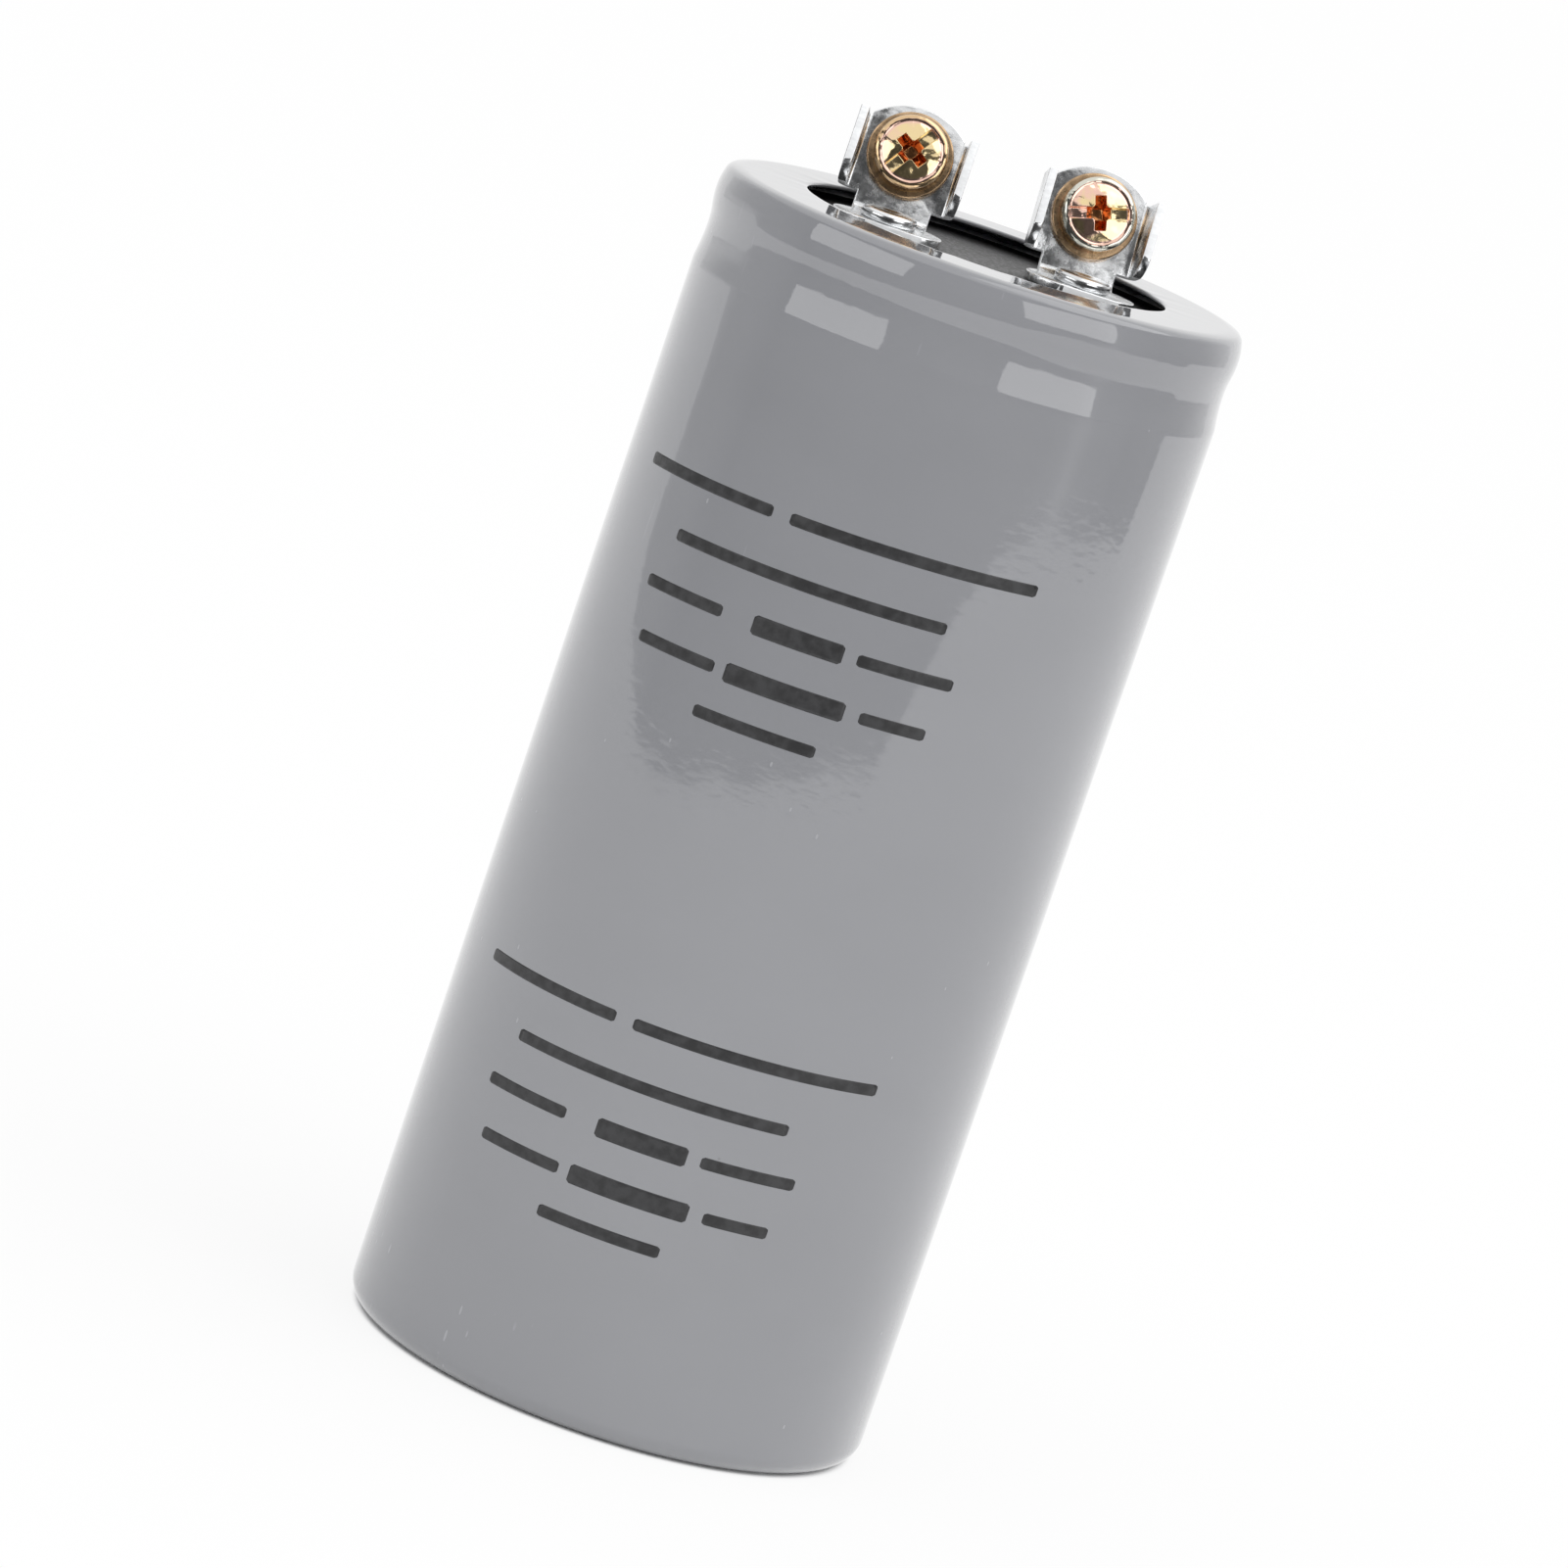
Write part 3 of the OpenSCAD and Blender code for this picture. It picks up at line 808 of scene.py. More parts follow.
def metal_finish(name, colour, low, high, stretch=(1.0, 1.0, 1.0), scale=900.0):
    """Plain drawn or rolled metal: faint clouds and a grain that may be stretched into lines."""
    finish = Finish(name, stretch)
    clouds = finish.clouds(colour, 0.9, 1.06, Scale=250.0, Detail=3.0)
    grain = finish.use(grain_group(), Scale=scale, Detail=3.0, Low=low, High=high)
    return finish.grained(clouds.outputs["Colour"], grain, 0.00001).plain(Metallic=1.0).material


def can_finish():
    """Drawn aluminium: faint clouds, and turned rings on its base from the drawing punch."""
    finish = Finish("drawn aluminium")
    clouds = finish.clouds((0.78, 0.79, 0.80), 0.88, 1.05, Scale=180.0, Detail=4.0)
    rings = finish.pattern("ShaderNodeTexWave", wave_type="RINGS", rings_direction="Z",
                           Scale=420.0, Distortion=3.0, Detail=3.0)
    finish.feed("Base Color", clouds.outputs["Colour"])
    finish.feed("Roughness", ramp(finish.tree, rings.outputs["Fac"], 0.0, 1.0, 0.26, 0.42))
    return finish.relief(rings.outputs["Fac"], 0.000012).plain(Metallic=1.0).material


def rubber_finish():
    """Black rubber: a finely pebbled skin with a soft sheen and a little dust between pebbles."""
    finish = Finish("black rubber")
    tree = finish.tree
    pebbles = finish.use(grain_group(), Scale=2400.0, Detail=4.0, Low=0.3, High=0.55)
    skin = finish.use(mottle_group(), Scale=300.0, Detail=3.0,
                      Dark=(0.004, 0.004, 0.004), Light=(0.010, 0.010, 0.011))
    dust = ramp(tree, pebbles.outputs["Height"], 0.46, 0.36, 0.0, 0.5)
    dusty = blend_colour(tree, dust, skin.outputs["Colour"], (0.06, 0.06, 0.062))
    return finish.grained(dusty, pebbles, 0.0001).material


def fibre_finish(name, dark, light, scale, stretch, depth):
    """Paper, board or laminate: fibres as noise stretched along the sheet."""
    finish = Finish(name, stretch)
    fibres = finish.use(mottle_group(), Scale=scale, Detail=5.0, Dark=dark, Light=light)
    grain = finish.use(grain_group(), Scale=2.0 * scale, Detail=3.0, Low=0.5, High=0.75)
    return finish.grained(fibres.outputs["Colour"], grain, depth).material


def roll_finish():
    """Wound foil and paper: rings of pale paper and grey foil round the mandrel."""
    finish = Finish("wound foil and paper")
    tree = finish.tree
    turns = finish.pattern("ShaderNodeTexWave", wave_type="RINGS", rings_direction="Z",
                           Scale=900.0, Distortion=1.5, Detail=2.0)
    paper = finish.use(mottle_group(), Scale=300.0, Detail=4.0,
                       Dark=(0.50, 0.38, 0.21), Light=(0.62, 0.50, 0.30))
    foil = (0.45, 0.44, 0.41)
    finish.feed("Base Color", blend_colour(tree, ramp(tree, turns.outputs["Fac"], 0.6, 0.9),
                                           paper.outputs["Colour"], foil))
    finish.feed("Roughness", ramp(tree, turns.outputs["Fac"], 0.6, 0.9, 0.75, 0.4))
    return finish.relief(turns.outputs["Fac"], 0.00004).material


# Shapes


def film_unevenness(angle, height, radius, slope):
    """Rise and fall of the shrunk film, in metres.

    A sum of plane waves on the unrolled wall. Each goes round a whole number of times, climbs at
    its own rate and has its own phase, and its size is the slope divided by its wave number, so
    that long waves stand higher and all are about as steep.
    """
    seed, count, steepest = 11, 18, 700.0
    random = np.random.default_rng(seed)
    laps = random.integers(2, 30, count)
    climb = random.uniform(-steepest, steepest, count)
    phase = random.uniform(0.0, 2 * math.pi, count)
    size = slope * math.sqrt(2.0 / count) / np.hypot(laps / radius, climb)
    angle, height = np.broadcast_arrays(angle, height)
    return (np.sin(angle[..., None] * laps + height[..., None] * climb + phase) * size).sum(axis=-1)


def sleeve_mesh(sleeve):
    """Film of revolution with an uneven wall and a gathered top edge.

    The outer line runs out along the base lap, up the wall, through the bead groove, whose lower
    flank is straight between two bends, over the rim in three bends, its side, edge and crown, and
    in along the top lap. The inner line is the outer one set off by the film's thickness, apart
    from one bend over the can's curl, and a half round joins them at each end.
    Carried round Z, the outer points are pushed along their normals by the film's unevenness on
    the wall and by gathers on the top lap.
    """
    _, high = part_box("outer_sleeve")
    radius, top = high.x, high.z
    film, dip = sleeve.film, sleeve.groove_depth

    below_h, both_r = sleeve.flank_below, sleeve.flank_bend + sleeve.groove_bend
    below_line = math.sqrt(below_h**2 + dip**2 - 2 * both_r * dip)
    below_a = math.atan2(both_r, below_line) - math.atan2(both_r - dip, below_h)
    above_r = (sleeve.flank_above**2 + dip**2) / (4 * dip)
    above_a = 2 * math.atan(dip / sleeve.flank_above)
    wall = sleeve.groove_level - sleeve.flank_below - sleeve.foot_radius
    quarter = math.pi / 2
    turns = np.array([0.0, sleeve.rim_turn, quarter - sleeve.crown_turn, quarter])
    bends = np.array([sleeve.rim_side_r, sleeve.rim_edge_r, sleeve.crown_r])
    rise = (bends * np.diff(np.sin(turns))).sum()
    run = -(bends * np.diff(np.cos(turns))).sum()
    rim = top - rise - sleeve.groove_level - sleeve.flank_above
    rim_inside = top - film - sleeve.curl_r - sleeve.groove_level - sleeve.flank_above
    start = radius - sleeve.foot_radius - sleeve.base_lap
    line, heading = bent_line(
        [(sleeve.base_lap, 0, 6), (sleeve.foot_radius, quarter, 12), (wall, 0, 120),
         (sleeve.flank_bend, below_a, 5), (below_line, 0, 3), (sleeve.groove_bend, -below_a, 12),
         (above_r, -above_a, 8), (above_r, above_a, 8),
         (rim, 0, 2), *zip(bends, np.diff(turns), (12, 12, 8)), (sleeve.top_lap, 0, 16)],
        (start, 0.0), 0.0)
    inside, _ = bent_line(
        [(sleeve.base_lap, 0, 2), (sleeve.foot_radius - film, quarter, 4), (wall, 0, 30),
         (sleeve.flank_bend - film, below_a, 2), (below_line, 0, 1),
         (sleeve.groove_bend + film, -below_a, 3),
         (above_r + film, -above_a, 3), (above_r - film, above_a, 3), (rim_inside, 0, 1),
         (sleeve.curl_r, quarter, 6), (run + sleeve.top_lap - film - sleeve.curl_r, 0, 4)],
        (start, film), 0.0)
    ahead = np.stack([np.cos(heading), np.sin(heading)], axis=-1)
    inwards = np.stack([-ahead[:, 1], ahead[:, 0]], axis=-1)

    angle = full_circle(256)
    normal = -inwards
    height = line[:, 1]
    over_foot, under_crown = (0.0015, 0.005), (0.1085, 0.1105)
    on_wall = smooth_step(height, *over_foot) * (1 - smooth_step(height, *under_crown))
    push = film_unevenness(angle, height[:, None], radius, sleeve.unevenness) * on_wall[:, None]
    lap = np.clip((radius - run - line[:, 0]) / sleeve.top_lap, 0, 1) * (height > top / 2)
    gathers = np.sin(23 * angle + 1.0) + 0.7 * np.sin(37 * angle + 2.5)
    gathers = gathers * (0.6 + 0.4 * np.sin(3 * angle))
    push = push - sleeve.pucker * lap[:, None] ** 2 * (1 + gathers)
    outer = line[:, None, :] + normal[:, None, :] * push[..., None]

    def half_round(centre, sideways, forwards):
        """Three points of the flattened half round at an edge of the film."""
        swing = np.radians([45.0, 90.0, 135.0])[:, None]
        return centre + film / 2 * (sideways * np.cos(swing) + 0.7 * forwards * np.sin(swing))

    top_edge = half_round(line[-1] + film / 2 * inwards[-1], normal[-1], ahead[-1])
    base_edge = half_round(line[0] + film / 2 * inwards[0], inwards[0], -ahead[0])
    still = np.vstack([top_edge, inside[::-1], base_edge])
    still = np.broadcast_to(still[:, None, :], (len(still), len(angle), 2))
    section = np.concatenate([outer, still])
    points = turned(section[..., 0], section[..., 1], angle)
    rows, cols = points.shape[:2]
    return make_mesh("sleeve", points.reshape(-1, 3), lattice_faces(rows, cols, True, True))


# The print's lines from the top, each its height over the block's middle and its bars. A bar is
# where it starts and ends along the wall, from the middle of the front, and its height.
PRINT_LINES = (
    (0.0100, ((-0.0272, -0.0106, 0.0011), (-0.0088, 0.0150, 0.0011))),
    (0.0048, ((-0.0198, 0.0077, 0.0011),)),
    (0.0000, ((-0.0216, -0.0122, 0.0011), (-0.0090, -0.0003, 0.0018), (0.0010, 0.0100, 0.0011))),
    (-0.0049, ((-0.0203, -0.0112, 0.0011), (-0.0101, 0.0014, 0.0018), (0.0028, 0.0090, 0.0011))),
    (-0.0091, ((-0.0118, 0.0001, 0.0011),)),
)
# Height of the upper block's middle.
PRINT_TOP_BLOCK = 0.0752


def ink_mesh(ink, sleeve):
    """Bars of ink on the wall.

    A bar is a grid over its height and width, narrowed near its upper and lower edge by its corner
    radius, then laid round the wall and raised by the film's own unevenness.
    """
    _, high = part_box("outer_sleeve")
    radius = high.x
    up = np.linspace(-1.0, 1.0, 9)
    across = np.linspace(-1.0, 1.0, 41)
    vertices, faces, made = [], [], 0
    for block in range(2):
        for line_height, bars in PRINT_LINES:
            for start, end, tall in bars:
                rise = up * tall / 2
                into_corner = np.maximum(0.0, np.abs(rise) - (tall / 2 - ink.corner))
                half = (end - start) / 2 - ink.corner + np.sqrt(ink.corner**2 - into_corner**2)
                along = (start + end) / 2 + half[:, None] * across
                height = line_height + rise[:, None] + along * math.tan(ink.slant)
                height = PRINT_TOP_BLOCK - block * ink.block_pitch + height
                angle = (along + block * ink.block_step) / radius + ink.turn - math.pi / 2
                lift = film_unevenness(angle, height, radius, sleeve.unevenness)
                points = turned(radius + lift, height, angle)
                vertices.append(points.reshape(-1, 3))
                faces.append(lattice_faces(len(up), len(across), False, False) + made)
                made += points.shape[0] * points.shape[1]
    return make_mesh("print", np.vstack(vertices), np.vstack(faces))


def terminal_mesh(node, sheet):
    """The CAD terminal's own triangles, merged into one skin with its flat faces whole again.

    The sides of a face are those of the rectangle with its area and outline, a quarter of the
    outline less or more the root of its square less 16 areas. A face with a side as long as the
    sheet is thick is a sheared edge and takes the second material.
    """
    mesh = NODES[node].data.copy()
    mesh.materials.clear()
    work = bmesh.new()
    work.from_mesh(mesh)
    bmesh.ops.remove_doubles(work, verts=work.verts, dist=2e-6)
    bmesh.ops.dissolve_limit(
        work, angle_limit=math.radians(0.5), verts=work.verts, edges=work.edges)
    work.to_mesh(mesh)
    work.free()
    mesh.shade_smooth()
    points = np.empty(3 * len(mesh.vertices))
    mesh.vertices.foreach_get("co", points)
    ends = np.empty(2 * len(mesh.edges), int)
    mesh.edges.foreach_get("vertices", ends)
    ends = points.reshape(-1, 3)[ends.reshape(-1, 2)]
    length = np.linalg.norm(ends[:, 0] - ends[:, 1], axis=-1)
    corner_edges = np.empty(len(mesh.loops), int)
    mesh.loops.foreach_get("edge_index", corner_edges)
    corners = np.empty(len(mesh.polygons), int)
    mesh.polygons.foreach_get("loop_total", corners)
    area = np.empty(len(corners))
    mesh.polygons.foreach_get("area", area)
    outline = np.bincount(np.repeat(np.arange(len(corners)), corners), length[corner_edges])
    root = np.sqrt(np.maximum(outline**2 - 16 * area, 0.0))
    sides = np.stack([outline - root, outline + root]) / 4
    tolerance = 0.03 * sheet
    sheared = (np.abs(sides - sheet) < tolerance).any(axis=0)
    mesh.polygons.foreach_set("material_index", sheared.astype(np.int32))
    return mesh


def screw_mesh(screw, turn, place):
    """Pan-head screw as one lattice from its tip to the middle of its recess.

    Rows climb the shank, whose radius follows a triangle wave in height less angle, so its crests
    wind up as a helix. They go out under the head, up its side, over a round bead along its edge
    and in over a dome. There the height is lowered into the slot and the cross recess, whose
    floors are planes and whose walls are eased steps.
    """
    angle = full_circle(320)
    thread_r, root = screw.thread_d / 2, screw.thread_d / 2 - screw.thread_depth

    tip_r = np.array([0.35, 0.7, 0.95])[:, None] * root
    climb = np.linspace(-screw.length, -0.0001, 96)[:, None]
    wave = np.abs(2 * ((climb / screw.thread_pitch - angle / (2 * math.pi)) % 1.0) - 1)
    flat = 0.12
    ridge = np.clip((wave - flat) / (1 - 2 * flat), 0, 1)
    runout = 0.0008
    start = np.clip((climb + screw.length) / runout, 0, 1)
    finish = np.clip(-climb / runout, 0, 1)
    shank_r = root + screw.thread_depth * ridge * start * finish

    side_r = screw.head_d / 2
    foot = 0.00015
    under_r = np.linspace(thread_r, side_r - foot, 5)[:, None]
    bend = np.radians(np.linspace(-90, 0, 5))[:, None]
    crown_r = side_r - screw.edge_r
    dome_edge, middle_r = crown_r - 0.00025, 0.00003
    crest = screw.head_h - screw.dome_r + math.sqrt(screw.dome_r**2 - dome_edge**2)
    swing = np.radians(np.linspace(0, 120, 18))[:, None]
    edge_r = crown_r + screw.edge_r * np.cos(swing)
    edge_z = crest - screw.edge_r + screw.edge_r * np.sin(swing)
    top_r = np.linspace(edge_r[-1, 0] - 0.00001, middle_r, 84)[:, None]
    dome = screw.head_h - screw.face_sink - screw.dome_r + np.sqrt(screw.dome_r**2 - top_r**2)
    outline_r = np.vstack([edge_r, top_r])
    outline_z = np.vstack([edge_z, dome])

    x, y = outline_r * np.cos(angle), outline_r * np.sin(angle)
    half = screw.slot_w / 2

    def inside(room):
        """1 where there is room to the nearest wall of a recess, eased over the wall."""
        wall = 0.00004
        return smooth_step(room, -wall, wall)

    def arm(along, aside):
        """Floor of one arm of the cross, climbing from middle to tip, and where it is cut."""
        share = np.clip((np.abs(along) - half) / (screw.cross_len / 2 - half), 0, 1)
        return screw.head_h - screw.cross_depth * (1 - share), inside(half - np.abs(aside))

    face = np.broadcast_to(outline_z, x.shape)
    slot = inside(np.minimum(half - np.abs(y), screw.slot_len / 2 - np.abs(x)))
    slotted = face + np.minimum(screw.head_h - screw.slot_depth - face, 0) * slot
    cut = slotted
    for along, aside in ((x, y), (y, x)):
        floor, share = arm(along, aside)
        cut = np.minimum(cut, face + np.minimum(floor - face, 0) * share)
    cone_r = 0.00095
    cone = screw.head_h - screw.cross_depth + np.hypot(x, y) / cone_r * screw.cross_depth
    cut = np.minimum(cut, cone)

    wide = np.ones_like(angle)
    rows_r = [tip_r * wide, shank_r, under_r * wide,
              (side_r - foot + foot * np.cos(bend)) * wide, outline_r * wide]
    rows_z = [np.full_like(tip_r, -screw.length) * wide, climb * wide,
              np.zeros_like(under_r) * wide, (foot + foot * np.sin(bend)) * wide, cut]
    lattice = turned(np.vstack(rows_r), np.vstack(rows_z), angle)
    poles = np.array([[0, 0, -screw.length], [0, 0, cut[-1].mean()]])
    vertices, faces = closed_between_poles(lattice, poles[0], poles[1])
    seat = place @ Matrix.Translation((0, 0, screw.seat)) @ Matrix.Rotation(turn, 4, "Z")
    mesh = make_mesh("screw", moved(vertices, seat), faces)

    blank = np.zeros((len(lattice) - len(cut), len(angle)))
    share = outline_r / side_r
    full_depth = 0.00025
    # The rim mark is where the edge colour goes, which on the right screw is a painted highlight.
    for name, mark, at_top in (
            ("recess", np.clip((slotted - cut) / full_depth, 0, 1), 1.0),
            ("rim", smooth_step(share, 0.86, 0.9) * wide, 0.0),
            ("ring", smooth_step(share, 0.74, 0.78) * wide, 0.0)):
        mark_points(mesh, name, np.append(np.vstack([blank, mark]).ravel(), [0.0, at_top]))
    return mesh


def washer_mesh(washer, place):
    """Flat ring: an oblong section with quarter-round corners, carried round the screw's axis."""
    inner, outer = washer.inside_d / 2, washer.outside_d / 2
    edge = washer.edge_r
    quarter = np.radians(np.linspace(0, 90, 6))
    hubs = ((outer - edge, edge, -90), (outer - edge, washer.thickness - edge, 0),
            (inner + edge, washer.thickness - edge, 90), (inner + edge, edge, 180))
    section = np.vstack([
        np.stack([r + edge * np.cos(quarter + math.radians(turn)),
                  z + edge * np.sin(quarter + math.radians(turn))], axis=-1)
        for r, z, turn in hubs])
    points = turned(section[:, :1], section[:, 1:], full_circle(144))
    rows, cols = points.shape[:2]
    faces = lattice_faces(rows, cols, True, True)
    return make_mesh("washer", moved(points.reshape(-1, 3), place), faces)


def rivet_mesh(rivet, node):
    """Rivet as one lattice from its clinched end to the middle of its head.

    Its section is a clinch with rounded edges, a straight shank and a head whose top falls with
    the square of the radius and dips in a bell-shaped mark in the middle.
    """
    low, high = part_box(node)
    middle = (low + high) / 2
    edge = rivet.edge_r
    swing = np.radians(np.linspace(0, 90, 8))
    clinch, shank, head = rivet.clinch_d / 2, rivet.shank_d / 2, rivet.head_d / 2
    crown_fall, dimple_r, chamfer = 0.00012, 0.00075, 0.0001
    end_r, middle_r = 0.0008, 0.00005
    face_r = np.linspace(head - edge, middle_r, 26)[1:]
    head_r = np.concatenate([head - edge + edge * np.cos(swing), face_r])
    fall = crown_fall * (head_r / head) ** 2 + rivet.dimple * np.exp(-((head_r / dimple_r) ** 2))
    head_z = high.z - fall - np.concatenate([edge * (1 - np.sin(swing)), np.zeros(len(face_r))])
    clinched, under = low.z + rivet.clinch_h, high.z - rivet.head_h
    radius = np.concatenate([
        [end_r], clinch - edge + edge * np.sin(swing), [clinch, shank, shank],
        [head - chamfer, head], head_r])
    height = np.concatenate([
        [low.z], low.z + edge * (1 - np.cos(swing)), [clinched, clinched, under],
        [under, under + chamfer], head_z])
    points = turned(radius[:, None], height[:, None], full_circle(96))
    vertices, faces = closed_between_poles(points, (0, 0, low.z), (0, 0, head_z[-1]))
    mesh = make_mesh("rivet", vertices + np.array([middle.x, middle.y, 0.0]), faces)
    mesh.set_sharp_from_angle(angle=math.radians(50))
    return mesh


# Where the white table ends: azimuths in degrees from under the lens, and distances from the can.
TABLE_EDGE = ((-145, -110, -107, -98, -76, -60, -42, 0, 25, 38, 47, 76, 108, 111, 145),
              (1.05, 1.05, 0.52, 0.44, 0.355, 0.34, 0.335, 0.385, 0.415, 0.55, 0.65, 0.70, 0.70,
               1.05, 1.05))
# How pale the room past the table is at each azimuth.
ROOM_TONE = ((-145, -120, -107, -90, -75, -45, 0, 50, 58, 64, 70, 90, 108, 120, 145),
             (1.0, 0.55, 0.45, 0.30, 0.02, 0.02, 0.06, 0.10, 0.20, 0.45, 0.20, 0.08, 0.25, 0.45,
              1.0))
# Softboxes: name, distance, azimuth in degrees from over the lens, elevation, width, height, power.
SOFTBOXES = (
    ("softbox left", 0.92, -51, 11.5, 0.79, 0.44, 2.0),
    ("softbox right", 0.92, 44, 11.5, 0.70, 0.44, 1.85),
    ("softbox above", 1.3, 77, 58, 1.4, 1.4, 7.0),
)


# Operators


class CAPACITOR_OT_sleeve(Operator):
    """Makes the shrink sleeve in place of its CAD node."""

    bl_idname = "capacitor.sleeve"
    bl_label = "Shrink sleeve"

    def execute(self, context):
        sleeve = context.scene.capacitor_sleeve
        add_piece("shrink_sleeve", sleeve_mesh(sleeve), sleeve_finish(sleeve),
                  ["outer_sleeve"])
        return {"FINISHED"}


class CAPACITOR_OT_print(Operator):
    """Lays the plain printed bars on the sleeve."""

    bl_idname = "capacitor.print"
    bl_label = "Printed bars"

    def execute(self, context):
        ink, sleeve = context.scene.capacitor_ink, context.scene.capacitor_sleeve
        piece = add_piece("printed_bars", ink_mesh(ink, sleeve), ink_finish(ink))
        film = piece.modifiers.new("ink film", "SOLIDIFY")
        film.thickness = ink.thickness
        film.offset = 1.0
        return {"FINISHED"}


class CAPACITOR_OT_terminals(Operator):
    """Makes both folded terminals, with rounded stamped edges."""

    bl_idname = "capacitor.terminals"
    bl_label = "Terminals"

    def execute(self, context):
        terminal = context.scene.capacitor_terminal
        # The sheared edges take a paler material, a painted highlight along the stamped edges.
        material, edge_painted_highlight_material = tin_finish(terminal), sheared_edge_painted_highlight_finish(terminal)
        for side in SIDES:
            node = f"terminal_{side}"
            mesh = terminal_mesh(node, terminal.sheet)
            piece = add_piece(f"folded_terminal_{side}", mesh, material, [node])
            mesh.materials.append(edge_painted_highlight_material)
            edges = piece.modifiers.new("stamped edges", "BEVEL")
            edges.width = terminal.edge_round
            edges.segments = 3
            edges.limit_method = "ANGLE"
            edges.angle_limit = math.radians(35)
            edges.use_clamp_overlap = False
            edges.harden_normals = True
        return {"FINISHED"}


class CAPACITOR_OT_screws(Operator):
    """Makes both terminal screws, with their recesses and threads."""

    bl_idname = "capacitor.screws"
    bl_label = "Terminal screws"

    def execute(self, context):
        screw = context.scene.capacitor_screw
        # The right screw's edge colour is a painted highlight.
        for side, turn, rose_share, edge in (("left", screw.turn_left, 0.1, screw.brass),
                                             ("right", screw.turn_right, 0.5, screw.edge_highlight_silver)):
            mesh = screw_mesh(screw, turn, screw_frame(side))
            material = zinc_finish(screw, f"yellow chromated zinc {side}", rose_share, edge)
            add_piece(f"pan_screw_{side}", mesh, material, [f"screw_{side}"])
        return {"FINISHED"}


class CAPACITOR_OT_washers(Operator):
    """Makes both screw washers."""

    bl_idname = "capacitor.washers"
    bl_label = "Screw washers"

    def execute(self, context):
        washer = context.scene.capacitor_washer
        material = washer_finish(washer)
        for side in SIDES:
            mesh = washer_mesh(washer, screw_frame(side))
            add_piece(f"round_washer_{side}", mesh, material,
                      [f"screw_washer_{side}"])
        return {"FINISHED"}


class CAPACITOR_OT_rivets(Operator):
    """Makes both rivets."""

    bl_idname = "capacitor.rivets"
    bl_label = "Rivets"

    def execute(self, context):
        rivet = context.scene.capacitor_rivet
        material = metal_finish("bright rivet metal", tuple(rivet.colour), 0.12, 0.28)
        for side in SIDES:
            add_piece(f"set_rivet_{side}", rivet_mesh(rivet, f"rivet_{side}"), material,
                      [f"rivet_{side}"])
        return {"FINISHED"}


class CAPACITOR_OT_can_and_header(Operator):
    """Finishes the CAD can, the rubber facing and the header disc."""

    bl_idname = "capacitor.can_and_header"
    bl_label = "Can and header"

    def execute(self, context):
        dress_node("can", can_finish())
        dress_node("seal_disc", rubber_finish())
        dress_node("header_disc", fibre_finish(
            "phenolic laminate", (0.09, 0.042, 0.022), (0.15, 0.075, 0.042),
            500.0, (1.0, 1.0, 4.0), 0.00002))
        return {"FINISHED"}


class CAPACITOR_OT_inner_pieces(Operator):
    """Finishes the CAD pieces that the can and the header hide."""

    bl_idname = "capacitor.inner_pieces"
    bl_label = "Inner pieces"

    def execute(self, context):
        foil = metal_finish(
            "rolled lead foil", (0.80, 0.81, 0.82), 0.2, 0.35, (6.0, 1.0, 1.0), 600.0)
        burr = metal_finish("stamped washer metal", (0.74, 0.75, 0.76), 0.25, 0.4)
        for side in SIDES:
            dress_node(f"lead_tab_{side}", foil)
            dress_node(f"burr_washer_{side}", burr)
        dress_node("wound_element", roll_finish())
        dress_node("base_pad", fibre_finish(
            "pressed board", (0.22, 0.14, 0.07), (0.32, 0.21, 0.11),
            700.0, (1.0, 3.0, 1.0), 0.00003))
        return {"FINISHED"}


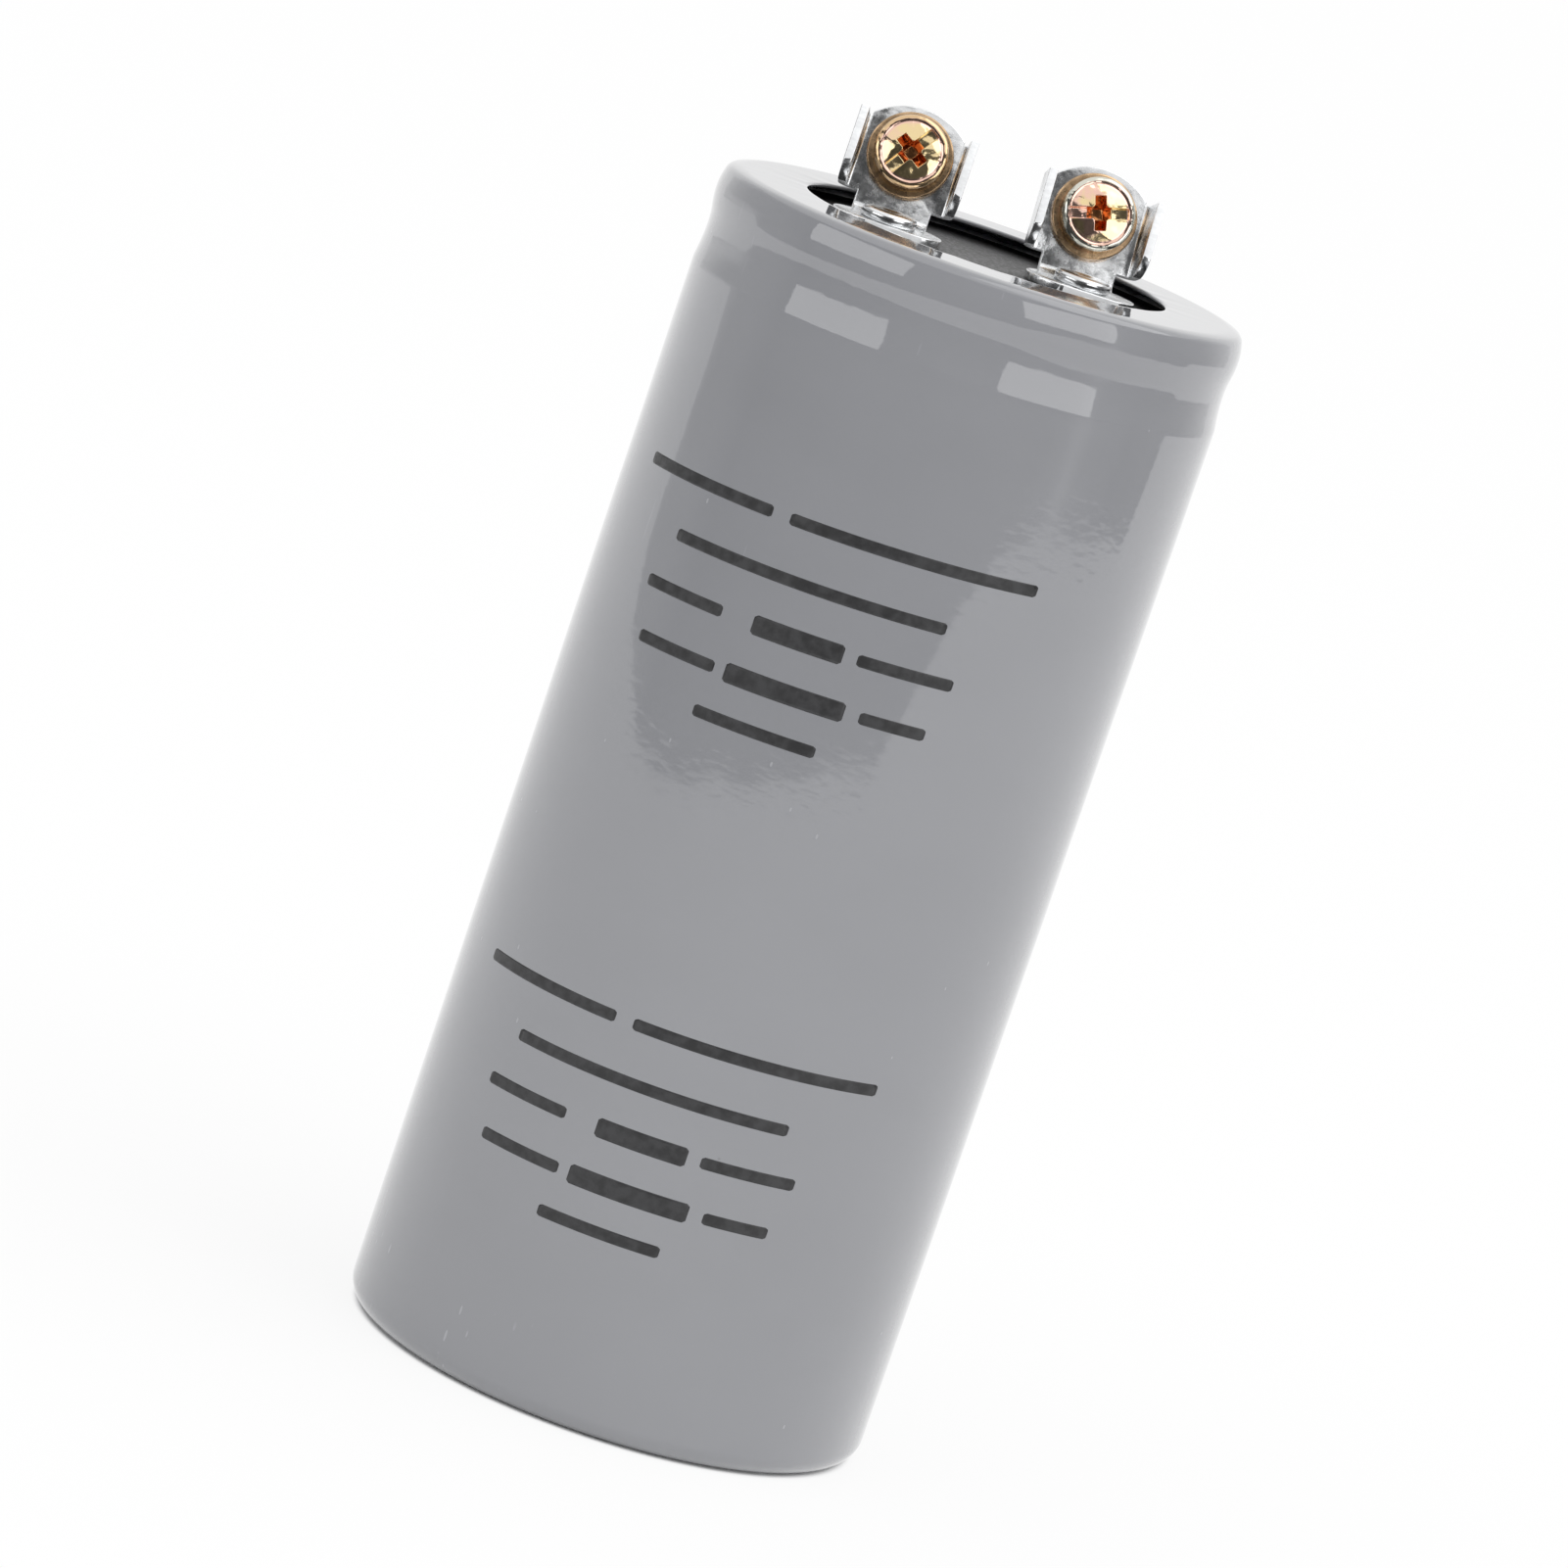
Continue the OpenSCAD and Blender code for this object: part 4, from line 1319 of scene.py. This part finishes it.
class CAPACITOR_OT_stage(Operator):
    """Makes the floor, the light and the camera."""

    bl_idname = "capacitor.stage"
    bl_label = "Stage"

    def execute(self, context):
        stage = context.scene.capacitor_stage
        self.add_floor(stage)
        self.add_dark_room(stage)
        self.add_sky(context.scene, stage)
        for softbox in SOFTBOXES:
            self.add_softbox(stage, *softbox)
        self.add_camera(context.scene, stage)
        context.scene.view_settings.view_transform = "Standard"
        return {"FINISHED"}

    @staticmethod
    def facing(stage):
        """Direction of the lens round the can, in degrees from X."""
        return math.degrees(math.atan2(stage.eye[1], stage.eye[0]))

    @staticmethod
    def white_to_lens(tree):
        """1 for the rays that show the background: from the lens, off gloss or through glass."""
        path = add_node(tree, "ShaderNodeLightPath")
        seen = path.outputs["Is Camera Ray"]
        for ray in ("Is Glossy Ray", "Is Transmission Ray"):
            seen = combine(tree, "MAXIMUM", seen, path.outputs[ray])
        return seen

    def add_floor(self, stage):
        """Pale round floor: rings of points at growing radius.

        It keeps the shadow, darkest along the can's foot, and the lens sees the rest nearly white.
        """
        rings, cols, sink = 24, 64, 0.00005
        radius = stage.floor_size * np.linspace(0.02, 1, rings) ** 2
        points = turned(radius[::-1, None], np.full((rings, 1), -sink), full_circle(cols))
        middle = list(range((rings - 1) * cols, rings * cols))
        faces = lattice_faces(rings, cols, False, True).tolist() + [middle]
        floor = put_in_scene("floor", make_mesh("floor", points.reshape(-1, 3), faces))
        material = bpy.data.materials.new("pale floor")
        material.use_nodes = True
        tree = material.node_tree
        matte = first_node(tree, "BSDF_PRINCIPLED")
        matte.inputs["Base Color"].default_value = (0.9, 0.9, 0.9, 1.0)
        matte.inputs["Roughness"].default_value = 0.9
        matte.inputs["Specular IOR Level"].default_value = 0.0
        glow = add_node(tree, "ShaderNodeEmission", Strength=1.0)
        place = add_node(tree, "ShaderNodeTexCoord")
        reach = add_node(tree, "ShaderNodeVectorMath", operation="LENGTH")
        tree.links.new(place.outputs["Object"], reach.inputs[0])
        past_foot, shadow_start, shadow_end = stage.foot_r + 0.001, 0.03, 0.15
        near_white, far_white = 0.87, 0.11
        near = ramp(tree, reach.outputs["Value"], stage.foot_r, past_foot, 0.0, near_white)
        far = ramp(tree, reach.outputs["Value"], shadow_start, shadow_end, 0.0, far_white)
        white = combine(tree, "MULTIPLY", self.white_to_lens(tree), combine(tree, "ADD", near, far))
        show_mix(tree, white, matte, glow, "OUTPUT_MATERIAL")
        floor.data.materials.append(material)

    def add_dark_room(self, stage):
        """The dark room past the table, which only the gloss shows.

        Its section runs along the ground from the table's edge to a round wall and up that wall,
        and is carried through the azimuths of TABLE_EDGE. It fades to white at both ends, and its
        left end is hazy near the ground.
        """
        finish = Finish("dark room")
        shade = finish.use(mottle_group(), Scale=3.0, Detail=2.0,
                           Dark=(0.010, 0.010, 0.011), Light=(0.03, 0.03, 0.03))
        pale = (0.9, 0.9, 0.9)
        paler = blend_colour(finish.tree, finish.attribute("tone"), shade.outputs["Colour"], pale)
        finish.feed("Base Color", paler).plain(Roughness=1.0, Specular_IOR_Level=0.0)
        cols, ground_rows, ground_z = 160, 10, 0.0004
        azimuth = np.linspace(TABLE_EDGE[0][0], TABLE_EDGE[0][-1], cols)
        edge = np.interp(azimuth, *TABLE_EDGE)
        ground = edge + (stage.room_r - edge) * np.linspace(0, 1, ground_rows)[:, None]
        rise = np.array((0.03, 0.05, 0.07, 0.09, 0.12, 0.2, 0.4, 0.6, stage.room_h))
        radius = np.vstack([ground, np.full((len(rise), cols), stage.room_r)])
        height = np.append(np.full(ground_rows, ground_z), rise)
        near_ground = np.interp(height, (0.04, 0.1), (1, 0))[:, None]
        left_end = np.interp(azimuth, (-114, -104), (1, 0))
        tone = np.interp(azimuth, *ROOM_TONE)
        tone = tone + (1 - tone) * near_ground * left_end
        points = turned(radius, height[:, None], np.radians(azimuth + self.facing(stage)))
        inwards = lattice_faces(len(height), cols, False, False)[:, ::-1]
        mesh = make_mesh("dark room", points.reshape(-1, 3), inwards)
        mark_points(mesh, "tone", tone.ravel())
        mesh.materials.append(finish.material)
        room = put_in_scene("dark_room", mesh)
        room.visible_camera = room.visible_diffuse = room.visible_shadow = False
        room.visible_transmission = room.visible_volume_scatter = False

    def add_sky(self, scene, stage):
        """Even white light from all round, which the lens and the gloss see as plain white."""
        scene.world = bpy.data.worlds.new("white studio")
        scene.world.use_nodes = True
        tree = scene.world.node_tree
        light = first_node(tree, "BACKGROUND")
        light.inputs["Color"].default_value = (1.0, 1.0, 1.0, 1.0)
        light.inputs["Strength"].default_value = stage.sky
        white = add_node(tree, "ShaderNodeBackground", Color=(1.0, 1.0, 1.0, 1.0), Strength=1.0)
        show_mix(tree, self.white_to_lens(tree), light, white, "OUTPUT_WORLD")

    def add_softbox(self, stage, name, distance, azimuth, elevation, width, height, power):
        """A soft rectangular light, turned towards a point high on the can."""
        target = Vector((0.0, 0.0, CAD_BOX[1].z * 0.8))
        round_can, up = math.radians(azimuth + self.facing(stage)), math.radians(elevation)
        level = math.cos(up)
        towards = Vector((math.cos(round_can) * level, math.sin(round_can) * level, math.sin(up)))
        place = target + distance * towards
        lamp = bpy.data.lights.new(name, "AREA")
        lamp.shape = "RECTANGLE"
        lamp.size, lamp.size_y, lamp.energy = width, height, power
        light = put_in_scene(name, lamp)
        light.location = place
        light.rotation_euler = (target - place).to_track_quat("-Z", "Y").to_euler()
        light.visible_camera = False

    def add_camera(self, scene, stage):
        """Camera at the photograph's place, rolled about its line of sight so the can leans."""
        eye, aim = Vector(stage.eye), Vector(stage.aim)
        camera = put_in_scene("camera", bpy.data.cameras.new("camera"))
        camera.data.lens = stage.lens
        camera.data.sensor_width = 36.0
        camera.data.clip_start, camera.data.clip_end = 0.01, 50.0
        camera.location = eye
        level = (aim - eye).to_track_quat("-Z", "Y").to_matrix()
        camera.rotation_euler = (level @ Matrix.Rotation(stage.roll, 3, "Z")).to_euler()
        scene.camera = camera


class CAPACITOR_PT_panel(Panel):
    """Lists the operators in the order in which they run."""

    bl_idname = "CAPACITOR_PT_panel"
    bl_label = "Motor start capacitor"
    bl_space_type = "VIEW_3D"
    bl_region_type = "UI"
    bl_category = "Capacitor"

    def draw(self, context):
        for operator in OPERATORS:
            self.layout.operator(operator.bl_idname)


SETTINGS = {
    "capacitor_sleeve": SleeveSettings,
    "capacitor_ink": InkSettings,
    "capacitor_terminal": TerminalSettings,
    "capacitor_screw": ScrewSettings,
    "capacitor_washer": WasherSettings,
    "capacitor_rivet": RivetSettings,
    "capacitor_stage": StageSettings,
}
OPERATORS = (
    CAPACITOR_OT_sleeve,
    CAPACITOR_OT_print,
    CAPACITOR_OT_terminals,
    CAPACITOR_OT_screws,
    CAPACITOR_OT_washers,
    CAPACITOR_OT_rivets,
    CAPACITOR_OT_can_and_header,
    CAPACITOR_OT_inner_pieces,
    CAPACITOR_OT_stage,
)
CLASSES = (*SETTINGS.values(), *OPERATORS, CAPACITOR_PT_panel)


def register():
    for cls in CLASSES:
        bpy.utils.register_class(cls)
    for name, settings in SETTINGS.items():
        setattr(bpy.types.Scene, name, PointerProperty(type=settings))


def unregister():
    for name in SETTINGS:
        delattr(bpy.types.Scene, name)
    for cls in reversed(CLASSES):
        bpy.utils.unregister_class(cls)


def main():
    register()
    bpy.ops.capacitor.sleeve()
    bpy.ops.capacitor.print()
    bpy.ops.capacitor.terminals()
    bpy.ops.capacitor.screws()
    bpy.ops.capacitor.washers()
    bpy.ops.capacitor.rivets()
    bpy.ops.capacitor.can_and_header()
    bpy.ops.capacitor.inner_pieces()
    bpy.ops.capacitor.stage()


if __name__ == "__main__":
    main()
